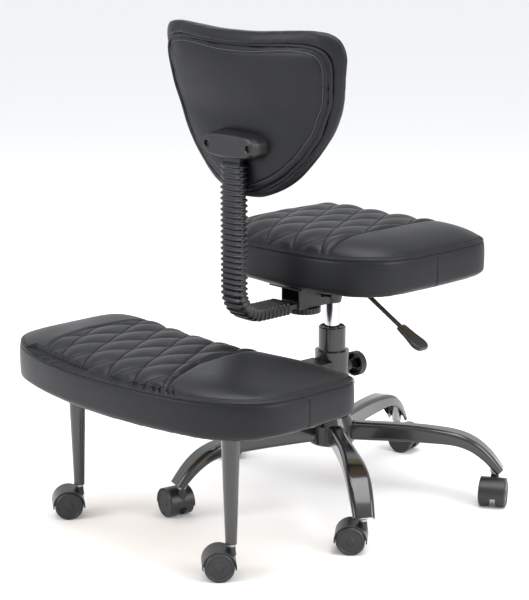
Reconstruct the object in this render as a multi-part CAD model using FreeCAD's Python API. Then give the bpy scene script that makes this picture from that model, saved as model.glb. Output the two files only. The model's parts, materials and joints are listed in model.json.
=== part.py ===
import FreeCAD, Part
import math
import os

# Kneeling chair: swivel seat with a low backrest on a five-star base, and a
# curved knee pad on two legs that swings round the column.
# Origin: column axis at the floor. +Z up, the sitter faces -Y, sitter's right is -X.
# All lengths in millimetres, all angles in degrees.

V = FreeCAD.Vector
UP = V(0, 0, 1)
ORIGIN = V(0, 0, 0)

# Clearances
RUN_GAP = 0.05          # radial clearance of a shaft or sleeve that turns or slides
FACE_GAP = 0.3          # between faces of pieces that move past each other

# Casters
WHEEL_RADIUS = 25.0
WHEEL_WIDTH = 17.5
WHEEL_INNER = 7.0       # half of the gap between the twin wheels
WHEEL_EDGE = 2.0
WHEEL_DISH_RADIUS = 20.5
WHEEL_DISH_DEPTH = 1.0
WHEEL_CAP_RADIUS = 7.0
CASTER_TRAIL = 20.0     # from the stem to the axle
AXLE_RADIUS = 3.0
AXLE_HALF = 21.0
STEM_RADIUS = 5.5
STEM_DEPTH = 23.0       # stem inside the hood
STEM_SEAT = 13.0        # stem inside the socket
STEM_RING_RADIUS = 7.6
STEM_RING_HEIGHT = 3.0
HOOD_GAP = 1.2          # between the tread and the hood
HOOD_WALL = 2.2
HOOD_HALF_WIDTH = 23.0
HOOD_WEB = 12.0
HOOD_DROP = 9.0         # degrees that the hood reaches below the axle
HOOD_NECK_RADIUS = 7.0
HOOD_NECK_FOOT = 8.5
HOOD_NECK_START = 40.0
SOCKET_HEIGHT = 59.0    # underside of every stem socket above the floor

# Five-star base
HUB_RADIUS = 43.0
HUB_BOTTOM = 101.0
HUB_SHOULDER = 138.0
HUB_TOP = 153.0
HUB_TOP_RADIUS = 34.0
HUB_EDGE = 3.0
ARM_COUNT = 5
ARM_WALL = 2.2
ARM_CORNER = 8.0
STEM_CIRCLE = 302.0
SOCKET_RADIUS = 9.0
SOCKET_LENGTH = 40.0
# Stations of an arm: distance from the axis, height, width, depth, slope
ARM_STATIONS = (
    (38.0, 124.5, 27.0, 36.0, 0.0),
    (82.0, 124.5, 27.5, 35.0, 0.0),
    (134.0, 124.5, 29.0, 34.0, -1.0),
    (202.0, 122.0, 36.0, 29.0, -7.0),
    (250.0, 113.0, 42.0, 24.0, -26.0),
    (289.0, 86.0, 41.0, 20.0, -46.0),
    (311.0, 61.0, 38.0, 16.0, -50.0),
)
# Trail direction of each base caster, as the chair stands
BASE_TRAILS = (-134.3, -10.3, 40.0, 120.7, -169.3)

# Gas lift
TUBE_RADIUS = 25.0
TUBE_WALL = 1.5
TUBE_BOTTOM = 105.0
TUBE_TOP = 321.0
TUBE_FLOOR = 3.0
TUBE_LIP = 2.0
BUSH_LENGTH = 66.0
CYLINDER_RADIUS = 14.0
CYLINDER_WALL = 2.5
CYLINDER_BOTTOM = 154.0
CYLINDER_TOP = 396.0
CYLINDER_END = 9.0
ROD_RADIUS = 5.0
ROD_SHOULDER_RADIUS = 8.0
ROD_SHOULDER = 4.0
PISTON_HEIGHT = 10.0
PISTON_BOTTOM = 246.0
BEARING_RADIUS = 12.0
BEARING_HEIGHT = 6.0
CLIP_RADIUS = 9.0
CLIP_HEIGHT = 1.6
RELEASE_RADIUS = 3.0
RELEASE_TOP = 400.0
RELEASE_LENGTH = 12.0
RELEASE_HOLE_GAP = 0.1

# Seat mechanism
PLATE_THICKNESS = 3.0
BOX_HALF_X = 45.0
BOX_HALF_Y = 50.0
BOX_BOTTOM = 388.0
FLANGE_HALF_X = 76.0
FLANGE_DEPTH = 46.0
COLLAR_BOTTOM = 366.0
COLLAR_FOOT_RADIUS = 16.2
COLLAR_HEAD_RADIUS = 20.0
SEAT_BOLT_X = 62.0
SEAT_BOLT_Y = 80.0
BOLT_RADIUS = 3.0
BOLT_HEAD_RADIUS = 6.0
BOLT_HEAD_HEIGHT = 4.0
BOLT_REACH = 10.0       # into the board
BOLT_HOLE_GAP = 0.2

# Back bar and its receiver
BAR_WIDTH = 38.0
BAR_THICKNESS = 8.0
BAR_CENTRE = 378.0      # height of the level run
BAR_REAR = 244.5        # distance of the upright run behind the column
BAR_BEND = 48.0
BAR_FRONT = 36.0
BAR_TOP = 692.0
RECEIVER_GAP = 0.3
RECEIVER_WALL = 3.0
RECEIVER_FRONT = 30.0
RECEIVER_REAR = 108.0
RECEIVER_PLATE_HALF = 40.0
RECEIVER_PLATE_FRONT = 53.0
RECEIVER_PLATE_REAR = 121.0
RECEIVER_BOLT_X = 32.0
RECEIVER_BOLT_Y = 66.0
KNOB_RADIUS = 29.0
KNOB_HEIGHT = 10.5
KNOB_Y = 72.0
KNOB_FLUTES = 24
KNOB_FLUTE_RADIUS = 2.2
KNOB_TOP_GAP = 1.2
KNOB_STUD_RADIUS = 4.0
KNOB_STUD_GAP = 0.1

# Ribbed bellows
RIB_PITCH = 9.6
RIB_COUNT_UPRIGHT = 23
RIB_COUNT_BEND = 8
RIB_COUNT_LEVEL = 7
RIB_HALF_WIDTH = 26.5
RIB_HALF_DEPTH = 13.0
RIB_DEPTH = 3.0
RIB_CORNER = 6.0
RIB_CREST = 0.5         # share of the pitch at full height
RIB_FLANK = 0.2         # share of the pitch on each flank
BELLOWS_BORE_GAP = 1.0

# Lever
LEVER_RADIUS = 4.0
LEVER_HEIGHT = 404.5
LEVER_PIVOT_X = -22.0
LEVER_BEND_X = -64.0
LEVER_DROP = 29.0       # slope of the outer run
LEVER_RUN = 150.0       # length of the outer run
LEVER_PIN_RADIUS = 2.5
LEVER_PIN_HALF = 7.0
LEVER_SLOT_HALF = 6.0
GRIP_LENGTH = 62.0
GRIP_THICKNESS = 10.0
GRIP_START_WIDTH = 19.0
GRIP_END_WIDTH = 32.0
GRIP_TIP_WIDTH = 20.0
GRIP_SHOULDER = 0.86    # share of the length where the grip is widest
GRIP_OVERLAP = 34.0     # length of rod inside the grip
GRIP_CORNER = 3.5

# Seat cushion
SEAT_HALF_X = 213.0
SEAT_HALF_Y = 171.0
SEAT_CENTRE_Y = -52.0
SEAT_BOW = 31.0
CUSHION_POWER = 5.0
SEAT_BOTTOM = 415.0
SEAT_SEAM = 486.0
SEAT_CROWN = 26.0
CROWN_POWER = 8.0
CROWN_STEPS = (1.0, 0.985, 0.95, 0.89, 0.8, 0.6, 0.3)
DRAW_IN = 6.0
# Share of the wall's height and of the draw-in at each section
WALL_STEPS = ((0.0, 1.4), (0.08, 0.5), (0.4, 0.0), (0.85, 0.3), (1.0, 1.0))
BOARD_THICKNESS = 12.0
BOARD_INSET = 24.0
QUILT_PITCH = 65.0
QUILT_STEP = 115.0      # front to back length of one diamond
QUILT_GROOVE = 3.0
QUILT_DEPTH = 4.0
SEAT_QUILT_HALF = 132.0
SEAT_QUILT_X = 25.0         # middle of the quilted band

# Backrest
BACK_MIDDLE = 201.0     # middle of its thickness behind the column
BACK_WRAP = 25.0        # how far the ends reach forward
BACK_HALF = 218.0
BACK_POWER = 2.3
BACK_BOTTOM = 581.0
BACK_TOP = 873.0
BACK_DEPTH = 29.0       # half of its thickness
BACK_RIM = 0.34         # share of the thickness left at the top and bottom edges
BACK_LEAN = 0.19        # rearward slope of the upper part
BACK_LEAN_START = 728.0
# Share of the height and of the half width of the outline
BACK_OUTLINE = (
    (0.0, 0.113), (0.024, 0.225), (0.058, 0.34), (0.11, 0.46), (0.195, 0.593),
    (0.298, 0.715), (0.40, 0.81), (0.52, 0.89), (0.657, 0.95), (0.795, 0.99),
    (0.887, 1.0), (0.942, 0.97), (0.976, 0.91), (1.0, 0.77),
)
REAR_PANEL_SPLIT = 15.0     # from the middle of the thickness
REAR_PANEL_DEPTH = 13.5
BACK_SEAM_GAP = 1.3         # between the sewn rear panel and the cushion
BACK_REAR = BACK_MIDDLE + REAR_PANEL_SPLIT + REAR_PANEL_DEPTH
REAR_PANEL_INSET = 18.0
REAR_PANEL_TOP = 26.0
REAR_PANEL_BOTTOM = 12.0
BACK_BOARD_THICKNESS = 10.0
BACK_BOARD_INSET = 30.0
HOUSING_WIDTH = 132.0
HOUSING_HEIGHT = 48.0
HOUSING_DEPTH = 32.0
HOUSING_SINK = 4.0      # how far its foot sits in the rear panel
HOUSING_BOTTOM = 652.0
HOUSING_DRAFT = 8.0
HOUSING_CORNER = 17.0
HOUSING_SCREW_X = 50.5
HOUSING_RECESS = 6.5
HOUSING_RECESS_DEPTH = 9.0
SCREW_RADIUS = 3.0
SCREW_HEAD_RADIUS = 5.6
SCREW_HEAD_HEIGHT = 3.5

# Knee pad and its carrier
PAD_TURN = -1.2         # the pad's swing about the column as the chair stands
PAD_SIDE = 20.0         # the pad's middle, sideways from the column
PAD_HALF_X = 317.0
PAD_HALF_Y = 143.0
PAD_CENTRE_Y = 351.0
PAD_BOW = 51.0
PAD_BOTTOM = 260.0
PAD_SEAM = 329.0
PAD_CROWN = 16.0
PAD_BOARD_THICKNESS = 15.0
PAD_QUILT_HALF = 156.0
PAD_QUILT_X = 44.0
SLEEVE_RADIUS = 31.3
SLEEVE_TOP = 276.0
SLEEVE_BOTTOM = 153.3
ARM_TUBE_WIDTH = 50.0
ARM_TUBE_HEIGHT = 25.0
ARM_TUBE_WALL = 2.0
ARM_TUBE_END = 470.0
ARM_TUBE_FRONT = 24.0
PAD_BOLT_Y = (300.0, 450.0)
PAD_BOLT_X = 17.0
LEG_SPREAD = 202.5      # half the distance between the legs
LEG_Y = 414.0
LEG_TOP_RADIUS = 16.0
LEG_BOTTOM_RADIUS = 9.6
LEG_WALL = 1.5
LEG_FOOT = 30.0
LEG_PLATE_RADIUS = 30.0
LEG_PLATE_THICKNESS = 3.0
LEG_SCREWS = 3
LEG_SCREW_CIRCLE = 23.0
PAD_TRAILS = (55.0, 50.0)
CLAMP_HEIGHT = 238.0
CLAMP_BOSS_RADIUS = 10.0
CLAMP_BOSS_END = 44.0
CLAMP_STUD_RADIUS = 4.0
CLAMP_STUD_GAP = 0.1
CLAMP_KNOB_RADIUS = 22.8
CLAMP_KNOB_BACK = 55.5
CLAMP_KNOB_LENGTH = 16.0
CLAMP_KNOB_WALL = 3.0
CLAMP_KNOB_HUB = 9.0
CLAMP_KNOB_DOME = 1.5
NUT_RADIUS = 7.0
NUT_HEIGHT = 5.0
DOME_HEIGHT = 204.0
DOME_RADIUS = 12.5
DOME_START = 44.0


def moved(shape, x, y, z):
    result = shape.copy()
    result.translate(V(x, y, z))
    return result


def turned(shape, degrees, axis=UP, centre=ORIGIN):
    result = shape.copy()
    result.rotate(centre, axis, degrees)
    return result


def post(radius, bottom, top, x=0.0, y=0.0):
    return Part.makeCylinder(radius, top - bottom, V(x, y, bottom))


def ring(outer, inner, bottom, top, x=0.0, y=0.0):
    return post(outer, bottom, top, x, y).cut(post(inner, bottom - 1, top + 1, x, y))


def block(x0, x1, y0, y1, z0, z1):
    return Part.makeBox(x1 - x0, y1 - y0, z1 - z0, V(x0, y0, z0))


def lathe(profile):
    """Body of revolution about Z from points of radius and height."""
    points = [V(radius, 0, height) for radius, height in profile]
    face = Part.Face(Part.makePolygon(points + points[:1]))
    return face.revolve(ORIGIN, UP, 360)


def rounded_wire(origin, across, along, half_across, half_along, radius):
    """Closed outline of four lines and four quarter arcs."""
    bend = radius * (1 - math.sqrt(0.5))

    def at(across_by, along_by):
        return origin + across * across_by + along * along_by

    arcs = []
    for index, (side, end) in enumerate(((1, 1), (-1, 1), (-1, -1), (1, -1))):
        tall = at(side * half_across, end * (half_along - radius))
        wide = at(side * (half_across - radius), end * half_along)
        middle = at(side * (half_across - bend), end * (half_along - bend))
        first, last = (tall, wide) if index % 2 == 0 else (wide, tall)
        arcs.append((first, middle, last))
    edges = []
    for index, arc in enumerate(arcs):
        edges.append(Part.Arc(*arc).toShape())
        edges.append(Part.LineSegment(arc[2], arcs[(index + 1) % 4][0]).toShape())
    return Part.Wire(edges)


def cushion_point(cushion, share, degrees):
    """Point of the cushion's bowed outline, shrunk by share about its centre."""
    cosine = math.cos(math.radians(degrees))
    sine = math.sin(math.radians(degrees))
    x = math.copysign(abs(cosine) ** (2 / CUSHION_POWER), cosine)
    y = math.copysign(abs(sine) ** (2 / CUSHION_POWER), sine)
    bow = cushion["bow"] * (1 - x * x)
    return share * cushion["half_x"] * x, share * (cushion["half_y"] * y + bow)


def cushion_wire(cushion, height, share=1.0, inset=0.0):
    """Closed outline of eight arcs, none over an eighth of the way round."""
    inner = dict(cushion)
    inner["half_x"] -= inset
    inner["half_y"] -= inset
    edges = []
    for octant in range(8):
        ends = []
        for part in (-0.5, 0.0, 0.5):
            x, y = cushion_point(inner, share, 45 * (octant + part))
            ends.append(V(cushion["x"] + x, cushion["y"] + y, height))
        edges.append(Part.Arc(*ends).toShape())
    return Part.Wire(edges)


def cushion_wall(cushion):
    height = cushion["seam"] - cushion["bottom"]
    wires = []
    for rise, draw in WALL_STEPS:
        wires.append(cushion_wire(cushion, cushion["bottom"] + rise * height, 1.0, draw * DRAW_IN))
    return Part.makeLoft(wires, True, False)


def cushion_crown(cushion, drop=0.0):
    """Crown from the seam to the flat middle; drop lowers it for the quilting."""
    wires = []
    for share in CROWN_STEPS:
        rise = cushion["crown"] * (1 - share ** CROWN_POWER)
        wires.append(cushion_wire(cushion, cushion["seam"] + rise - drop, share, DRAW_IN))
    return Part.makeLoft(wires, True, False)


def quilt_slabs(cushion):
    """Thin upright slabs along both families of quilting lines."""
    run = math.hypot(QUILT_PITCH, QUILT_STEP)
    lean = math.degrees(math.atan2(QUILT_PITCH, QUILT_STEP))
    rear = cushion["y"] + cushion["half_y"] + cushion["bow"]
    depth = 2 * cushion["half_y"] + cushion["bow"]
    steps = math.ceil((cushion["quilt"] + depth * QUILT_PITCH / QUILT_STEP) / QUILT_PITCH)
    reach = run * (1 + depth / QUILT_STEP)
    low = cushion["seam"] - QUILT_DEPTH
    high = cushion["seam"] + cushion["crown"] + QUILT_DEPTH
    slabs = []
    for side in (-1, 1):
        for index in range(-steps, steps + 1):
            slab = block(-QUILT_GROOVE / 2, QUILT_GROOVE / 2, -reach, reach, low, high)
            slab = turned(slab, side * lean)
            slabs.append(moved(slab, cushion["crossing"] + index * QUILT_PITCH, rear, 0))
    return slabs


def quilted(cushion, body):
    """Body with sewn channels across the quilted band of its crown."""
    rear = cushion["y"] + cushion["half_y"] + cushion["bow"]
    front = cushion["y"] - cushion["half_y"]
    low = cushion["seam"] - QUILT_DEPTH
    high = cushion["seam"] + cushion["crown"] + QUILT_DEPTH
    half = cushion["quilt"]
    band = block(cushion["quilt_x"] - half, cushion["quilt_x"] + half, front, rear, low, high)
    core = cushion_crown(cushion, QUILT_DEPTH).fuse(cushion_wall(cushion))
    skin = cushion_crown(cushion).cut(core).common(band)
    slabs = quilt_slabs(cushion)
    lattice = slabs[0].multiFuse(slabs[1:])
    return body.cut(skin.common(lattice))


def cushion_board(cushion, thickness):
    face = Part.Face(cushion_wire(cushion, cushion["bottom"], 1.0, BOARD_INSET))
    return face.extrude(V(0, 0, thickness))


def padded_cushion(cushion, thickness):
    """Quilted cushion with a pocket in its underside for the board."""
    body = cushion_wall(cushion).fuse(cushion_crown(cushion)).removeSplitter()
    body = quilted(cushion, body)
    face = Part.Face(cushion_wire(cushion, cushion["bottom"] - 1, 1.0, BOARD_INSET - FACE_GAP))
    return body.cut(face.extrude(V(0, 0, thickness + 1 + FACE_GAP)))


SEAT = {
    "x": 0.0, "y": SEAT_CENTRE_Y, "half_x": SEAT_HALF_X, "half_y": SEAT_HALF_Y,
    "bow": SEAT_BOW, "bottom": SEAT_BOTTOM, "seam": SEAT_SEAM, "crown": SEAT_CROWN,
    "quilt": SEAT_QUILT_HALF, "quilt_x": SEAT_QUILT_X, "crossing": SEAT_QUILT_X,
}
PAD = {
    "x": PAD_SIDE, "y": PAD_CENTRE_Y, "half_x": PAD_HALF_X, "half_y": PAD_HALF_Y,
    "bow": PAD_BOW, "bottom": PAD_BOTTOM, "seam": PAD_SEAM, "crown": PAD_CROWN,
    "quilt": PAD_QUILT_HALF, "quilt_x": PAD_QUILT_X, "crossing": PAD_SIDE + QUILT_PITCH / 2,
}


def caster_wheel(side):
    """One of the twin wheels, on a level axle along Y; side is 1 or -1."""
    inner = WHEEL_INNER
    outer = WHEEL_INNER + WHEEL_WIDTH
    profile = (
        (0, inner), (WHEEL_RADIUS - WHEEL_EDGE / 2, inner), (WHEEL_RADIUS, inner + WHEEL_EDGE / 2),
        (WHEEL_RADIUS, outer - WHEEL_EDGE), (WHEEL_RADIUS - WHEEL_EDGE, outer),
        (WHEEL_DISH_RADIUS, outer), (WHEEL_DISH_RADIUS - WHEEL_DISH_DEPTH, outer - WHEEL_DISH_DEPTH),
        (WHEEL_CAP_RADIUS, outer - WHEEL_DISH_DEPTH), (WHEEL_CAP_RADIUS - WHEEL_DISH_DEPTH, outer),
        (0, outer),
    )
    wheel = lathe(profile).cut(post(AXLE_RADIUS + RUN_GAP, 0, AXLE_HALF + FACE_GAP))
    wheel = turned(wheel, -90 * side, V(1, 0, 0))
    return moved(wheel, CASTER_TRAIL, 0, WHEEL_RADIUS)


def caster_hood():
    """Half-round hood over both wheels, its web on the axle and the stem neck."""
    outer = WHEEL_RADIUS + HOOD_GAP + HOOD_WALL
    inner = WHEEL_RADIUS + HOOD_GAP
    lie = V(1, 0, 0)
    shell = turned(ring(outer, inner, -HOOD_HALF_WIDTH, HOOD_HALF_WIDTH), -90, lie)
    web = turned(post(inner + HOOD_WALL / 2, -HOOD_WEB / 2, HOOD_WEB / 2), -90, lie)
    drop = WHEEL_RADIUS * math.sin(math.radians(HOOD_DROP))
    lower = block(-2 * outer, 2 * outer, -outer, outer, -2 * outer, -drop)
    hood = moved(shell.fuse(web).cut(lower), CASTER_TRAIL, 0, WHEEL_RADIUS)
    neck_top = SOCKET_HEIGHT - STEM_RING_HEIGHT - 2 * FACE_GAP
    neck = Part.makeCone(HOOD_NECK_FOOT, HOOD_NECK_RADIUS, neck_top - HOOD_NECK_START,
                         V(0, 0, HOOD_NECK_START))
    wheel_space = turned(post(inner, -HOOD_HALF_WIDTH, -HOOD_WEB / 2), -90, lie)
    wheel_space = wheel_space.fuse(turned(post(inner, HOOD_WEB / 2, HOOD_HALF_WIDTH), -90, lie))
    neck = neck.cut(moved(wheel_space, CASTER_TRAIL, 0, WHEEL_RADIUS))
    boss = post(HOOD_NECK_RADIUS, WHEEL_RADIUS + STEM_RADIUS, HOOD_NECK_START)
    boss = boss.common(block(-outer, outer, -HOOD_WEB / 2, HOOD_WEB / 2, 0, HOOD_NECK_START))
    hood = hood.fuse(neck).fuse(boss).removeSplitter()
    hood = hood.cut(post(STEM_RADIUS, neck_top - STEM_DEPTH, neck_top + 1))
    axle_bore = turned(post(AXLE_RADIUS, -HOOD_WEB, HOOD_WEB), -90, lie)
    return hood.cut(moved(axle_bore, CASTER_TRAIL, 0, WHEEL_RADIUS))


def caster_pins():
    """Steel stem with its ring, and the axle through the hood's web."""
    ring_bottom = SOCKET_HEIGHT - STEM_RING_HEIGHT - FACE_GAP
    stem_bottom = ring_bottom - FACE_GAP - STEM_DEPTH
    stem = post(STEM_RADIUS, stem_bottom, SOCKET_HEIGHT + STEM_SEAT)
    stem = stem.fuse(post(STEM_RING_RADIUS, ring_bottom, SOCKET_HEIGHT - FACE_GAP))
    axle = turned(post(AXLE_RADIUS, -AXLE_HALF, AXLE_HALF), -90, V(1, 0, 0))
    return Part.Compound([stem, moved(axle, CASTER_TRAIL, 0, WHEEL_RADIUS)])


def caster(name, x, y, trail):
    """Three nodes of one caster, its wheels trailing in the given direction."""
    pieces = {
        name + "_hood": caster_hood(),
        name + "_pins": caster_pins(),
        name + "_wheels": Part.Compound([caster_wheel(1), caster_wheel(-1)]),
    }
    return {key: moved(turned(shape, trail), x, y, 0) for key, shape in pieces.items()}


def base_hub():
    bore = TUBE_RADIUS
    profile = (
        (bore, HUB_BOTTOM), (HUB_RADIUS - HUB_EDGE, HUB_BOTTOM), (HUB_RADIUS, HUB_BOTTOM + HUB_EDGE),
        (HUB_RADIUS, HUB_SHOULDER), (HUB_TOP_RADIUS, HUB_TOP), (bore, HUB_TOP),
    )
    return lathe(profile)


def arm_wire(station, inset, drop):
    """Arm section square to its slope; inset and drop shape the inner channel."""
    distance, height, width, depth, slope = station
    angle = math.radians(slope)
    along = V(-math.sin(angle), 0, math.cos(angle))
    middle = V(distance, 0, height) - along * ((inset + drop) / 2)
    half_depth = (depth - inset + drop) / 2
    corner = ARM_CORNER - inset / 2
    corner = min(corner, half_depth - 0.5)
    return rounded_wire(middle, V(0, 1, 0), along, width / 2 - inset, half_depth, corner)


def base_arm_blank():
    return Part.makeLoft([arm_wire(station, 0.0, 0.0) for station in ARM_STATIONS], True, False)


def base_arm_channel():
    """Hollow of the pressed arm, open all along its underside."""
    drop = 2 * ARM_CORNER
    wires = [arm_wire(station, ARM_WALL, drop) for station in ARM_STATIONS]
    return Part.makeLoft(wires, True, False)


def base_arms():
    """Five pressed arms and the five stem sockets welded inside their toes."""
    floor = block(0, 2 * STEM_CIRCLE, -HUB_RADIUS, HUB_RADIUS, 0, SOCKET_HEIGHT)
    blank = base_arm_blank().cut(floor).cut(post(HUB_RADIUS, 0, HUB_TOP))
    channel = base_arm_channel()
    arm = blank.cut(channel)
    socket = ring(SOCKET_RADIUS, STEM_RADIUS + RUN_GAP, SOCKET_HEIGHT, SOCKET_HEIGHT + SOCKET_LENGTH,
                  STEM_CIRCLE)
    socket = socket.common(channel)
    nodes = {}
    sockets = []
    for index in range(ARM_COUNT):
        angle = index * 360 / ARM_COUNT
        nodes["base_arm_%d" % (index + 1)] = turned(arm, angle)
        sockets.append(turned(socket, angle))
    nodes["stem_sockets"] = Part.Compound(sockets)
    return nodes


def base_casters():
    nodes = {}
    for index, trail in enumerate(BASE_TRAILS):
        angle = math.radians(index * 360 / ARM_COUNT)
        x = STEM_CIRCLE * math.cos(angle)
        y = STEM_CIRCLE * math.sin(angle)
        nodes.update(caster("caster_%d" % (index + 1), x, y, trail))
    return nodes


def column_tube():
    inner = TUBE_RADIUS - TUBE_WALL
    tube = lathe((
        (ROD_RADIUS + FACE_GAP, TUBE_BOTTOM), (TUBE_RADIUS, TUBE_BOTTOM),
        (TUBE_RADIUS, TUBE_TOP - TUBE_LIP), (TUBE_RADIUS - TUBE_LIP, TUBE_TOP),
        (inner - TUBE_LIP, TUBE_TOP), (inner, TUBE_TOP - TUBE_LIP),
        (inner, TUBE_BOTTOM + TUBE_FLOOR), (ROD_RADIUS + FACE_GAP, TUBE_BOTTOM + TUBE_FLOOR),
    ))
    return tube


def column_bush():
    top = TUBE_TOP - TUBE_LIP
    return ring(TUBE_RADIUS - TUBE_WALL, CYLINDER_RADIUS + RUN_GAP, top - BUSH_LENGTH, top)


def thrust_bearing():
    bottom = TUBE_BOTTOM + TUBE_FLOOR
    return ring(BEARING_RADIUS, ROD_RADIUS + RUN_GAP, bottom, bottom + BEARING_HEIGHT)


def retaining_clip():
    top = TUBE_BOTTOM - FACE_GAP
    return ring(CLIP_RADIUS, ROD_RADIUS, top - CLIP_HEIGHT, top)


def piston_rod():
    """Rod on the thrust bearing, with the piston inside the gas cylinder."""
    bottom = TUBE_BOTTOM - 2 * FACE_GAP - CLIP_HEIGHT
    shoulder = TUBE_BOTTOM + TUBE_FLOOR + BEARING_HEIGHT + FACE_GAP
    bore = CYLINDER_RADIUS - CYLINDER_WALL
    rod = post(ROD_RADIUS, bottom, PISTON_BOTTOM)
    rod = rod.fuse(post(ROD_SHOULDER_RADIUS, shoulder, shoulder + ROD_SHOULDER))
    return rod.fuse(post(bore - RUN_GAP, PISTON_BOTTOM, PISTON_BOTTOM + PISTON_HEIGHT))


def gas_cylinder():
    bore = CYLINDER_RADIUS - CYLINDER_WALL
    hollow = post(bore, CYLINDER_BOTTOM + CYLINDER_END, CYLINDER_TOP - CYLINDER_END)
    body = post(CYLINDER_RADIUS, CYLINDER_BOTTOM, CYLINDER_TOP).cut(hollow)
    body = body.cut(post(ROD_RADIUS + RUN_GAP, CYLINDER_BOTTOM - 1, CYLINDER_BOTTOM + CYLINDER_END + 1))
    top_hole = post(RELEASE_RADIUS + RELEASE_HOLE_GAP, CYLINDER_TOP - CYLINDER_END - 1, CYLINDER_TOP + 1)
    return body.cut(top_hole)


def release_pin():
    return post(RELEASE_RADIUS, RELEASE_TOP - RELEASE_LENGTH, RELEASE_TOP)


def seat_bolt_places():
    """Bolt axes as x, y and the height of the face under the head."""
    under_flange = SEAT_BOTTOM - PLATE_THICKNESS
    places = []
    for x in (-SEAT_BOLT_X, SEAT_BOLT_X):
        places.append((x, SEAT_BOLT_Y, under_flange))
        places.append((x, -SEAT_BOLT_Y, under_flange))
    for x in (-RECEIVER_BOLT_X, RECEIVER_BOLT_X):
        places.append((x, RECEIVER_BOLT_Y, under_flange - PLATE_THICKNESS))
    return places


def seat_bolt_holes():
    holes = []
    for x, y, under in seat_bolt_places():
        holes.append(post(BOLT_RADIUS + BOLT_HOLE_GAP, under - 1, under + BOARD_THICKNESS + 10, x, y))
    return Part.Compound(holes)


def hex_head(radius, height):
    points = [V(radius * math.cos(math.radians(60 * k)), radius * math.sin(math.radians(60 * k)), 0)
              for k in range(7)]
    return Part.Face(Part.makePolygon(points)).extrude(V(0, 0, height))


def bolt(x, y, under, reach):
    """Hexagon bolt pointing up, its head below the height under."""
    head = moved(hex_head(BOLT_HEAD_RADIUS, BOLT_HEAD_HEIGHT), x, y, under - BOLT_HEAD_HEIGHT)
    return head.fuse(post(BOLT_RADIUS, under, under + reach, x, y))


def seat_bolts():
    bolts = []
    for x, y, under in seat_bolt_places():
        bolts.append(bolt(x, y, under, SEAT_BOTTOM - under + BOLT_REACH))
    return Part.Compound(bolts)


def mechanism_plate():
    """Pressed box with bolting flanges front and rear and a tapered collar below."""
    flange_y = BOX_HALF_Y + FLANGE_DEPTH - PLATE_THICKNESS
    plate = block(-FLANGE_HALF_X, FLANGE_HALF_X, -flange_y, flange_y,
                  SEAT_BOTTOM - PLATE_THICKNESS, SEAT_BOTTOM)
    box = block(-BOX_HALF_X, BOX_HALF_X, -BOX_HALF_Y, BOX_HALF_Y, BOX_BOTTOM, SEAT_BOTTOM)
    side_x = BOX_HALF_X - PLATE_THICKNESS
    side_y = BOX_HALF_Y - PLATE_THICKNESS
    hollow = block(-side_x, side_x, -side_y, side_y, BOX_BOTTOM + PLATE_THICKNESS, SEAT_BOTTOM + 1)
    beside = block(BOX_HALF_X, FLANGE_HALF_X + 1, -BOX_HALF_Y, BOX_HALF_Y,
                   SEAT_BOTTOM - PLATE_THICKNESS - 1, SEAT_BOTTOM + 1)
    plate = plate.cut(beside).cut(turned(beside, 180))
    collar = Part.makeCone(COLLAR_FOOT_RADIUS, COLLAR_HEAD_RADIUS, BOX_BOTTOM - COLLAR_BOTTOM,
                           V(0, 0, COLLAR_BOTTOM))
    body = plate.fuse(box).cut(hollow).fuse(collar).removeSplitter()
    body = body.cut(post(CYLINDER_RADIUS, COLLAR_BOTTOM - 1, BOX_BOTTOM + PLATE_THICKNESS + 1))
    slot = block(-BOX_HALF_X - 1, -side_x + 1, -LEVER_SLOT_HALF, LEVER_SLOT_HALF,
                 LEVER_HEIGHT - LEVER_SLOT_HALF, SEAT_BOTTOM + 1)
    ears = block(LEVER_PIVOT_X - 4, LEVER_PIVOT_X + 4, -LEVER_PIN_HALF - 3, LEVER_PIN_HALF + 3,
                 BOX_BOTTOM + 1, LEVER_HEIGHT + 5)
    between = block(LEVER_PIVOT_X - 5, LEVER_PIVOT_X + 5, -LEVER_RADIUS - FACE_GAP,
                    LEVER_RADIUS + FACE_GAP, BOX_BOTTOM + PLATE_THICKNESS, LEVER_HEIGHT + 6)
    body = body.cut(slot).fuse(ears.cut(between))
    return body.cut(lever_pin(RUN_GAP)).cut(seat_bolt_holes())


def receiver():
    """Welded channel under the seat that holds the level run of the back bar."""
    inner_x = BAR_WIDTH / 2 + RECEIVER_GAP
    inner_z = BAR_THICKNESS / 2 + RECEIVER_GAP
    outer_x = inner_x + RECEIVER_WALL
    outer_z = inner_z + RECEIVER_WALL
    plate_bottom = SEAT_BOTTOM - 2 * PLATE_THICKNESS
    channel = block(-outer_x, outer_x, RECEIVER_FRONT, RECEIVER_REAR,
                    BAR_CENTRE - outer_z, BAR_CENTRE + outer_z)
    web_front = BOX_HALF_Y + 2
    for side in (-1, 1):
        near, far = sorted((side * inner_x, side * outer_x))
        channel = channel.fuse(block(near, far, web_front, RECEIVER_REAR, BAR_CENTRE, plate_bottom))
    plate = block(-RECEIVER_PLATE_HALF, RECEIVER_PLATE_HALF, RECEIVER_PLATE_FRONT,
                  RECEIVER_PLATE_REAR, plate_bottom, plate_bottom + PLATE_THICKNESS)
    hollow = block(-inner_x, inner_x, RECEIVER_FRONT - 1, RECEIVER_REAR + 1,
                   BAR_CENTRE - inner_z, BAR_CENTRE + inner_z)
    body = channel.fuse(plate).removeSplitter().cut(hollow)
    stud = post(KNOB_STUD_RADIUS + KNOB_STUD_GAP, BAR_CENTRE - outer_z - 1, BAR_CENTRE, 0, KNOB_Y)
    return body.cut(stud).cut(seat_bolt_holes())


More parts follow.
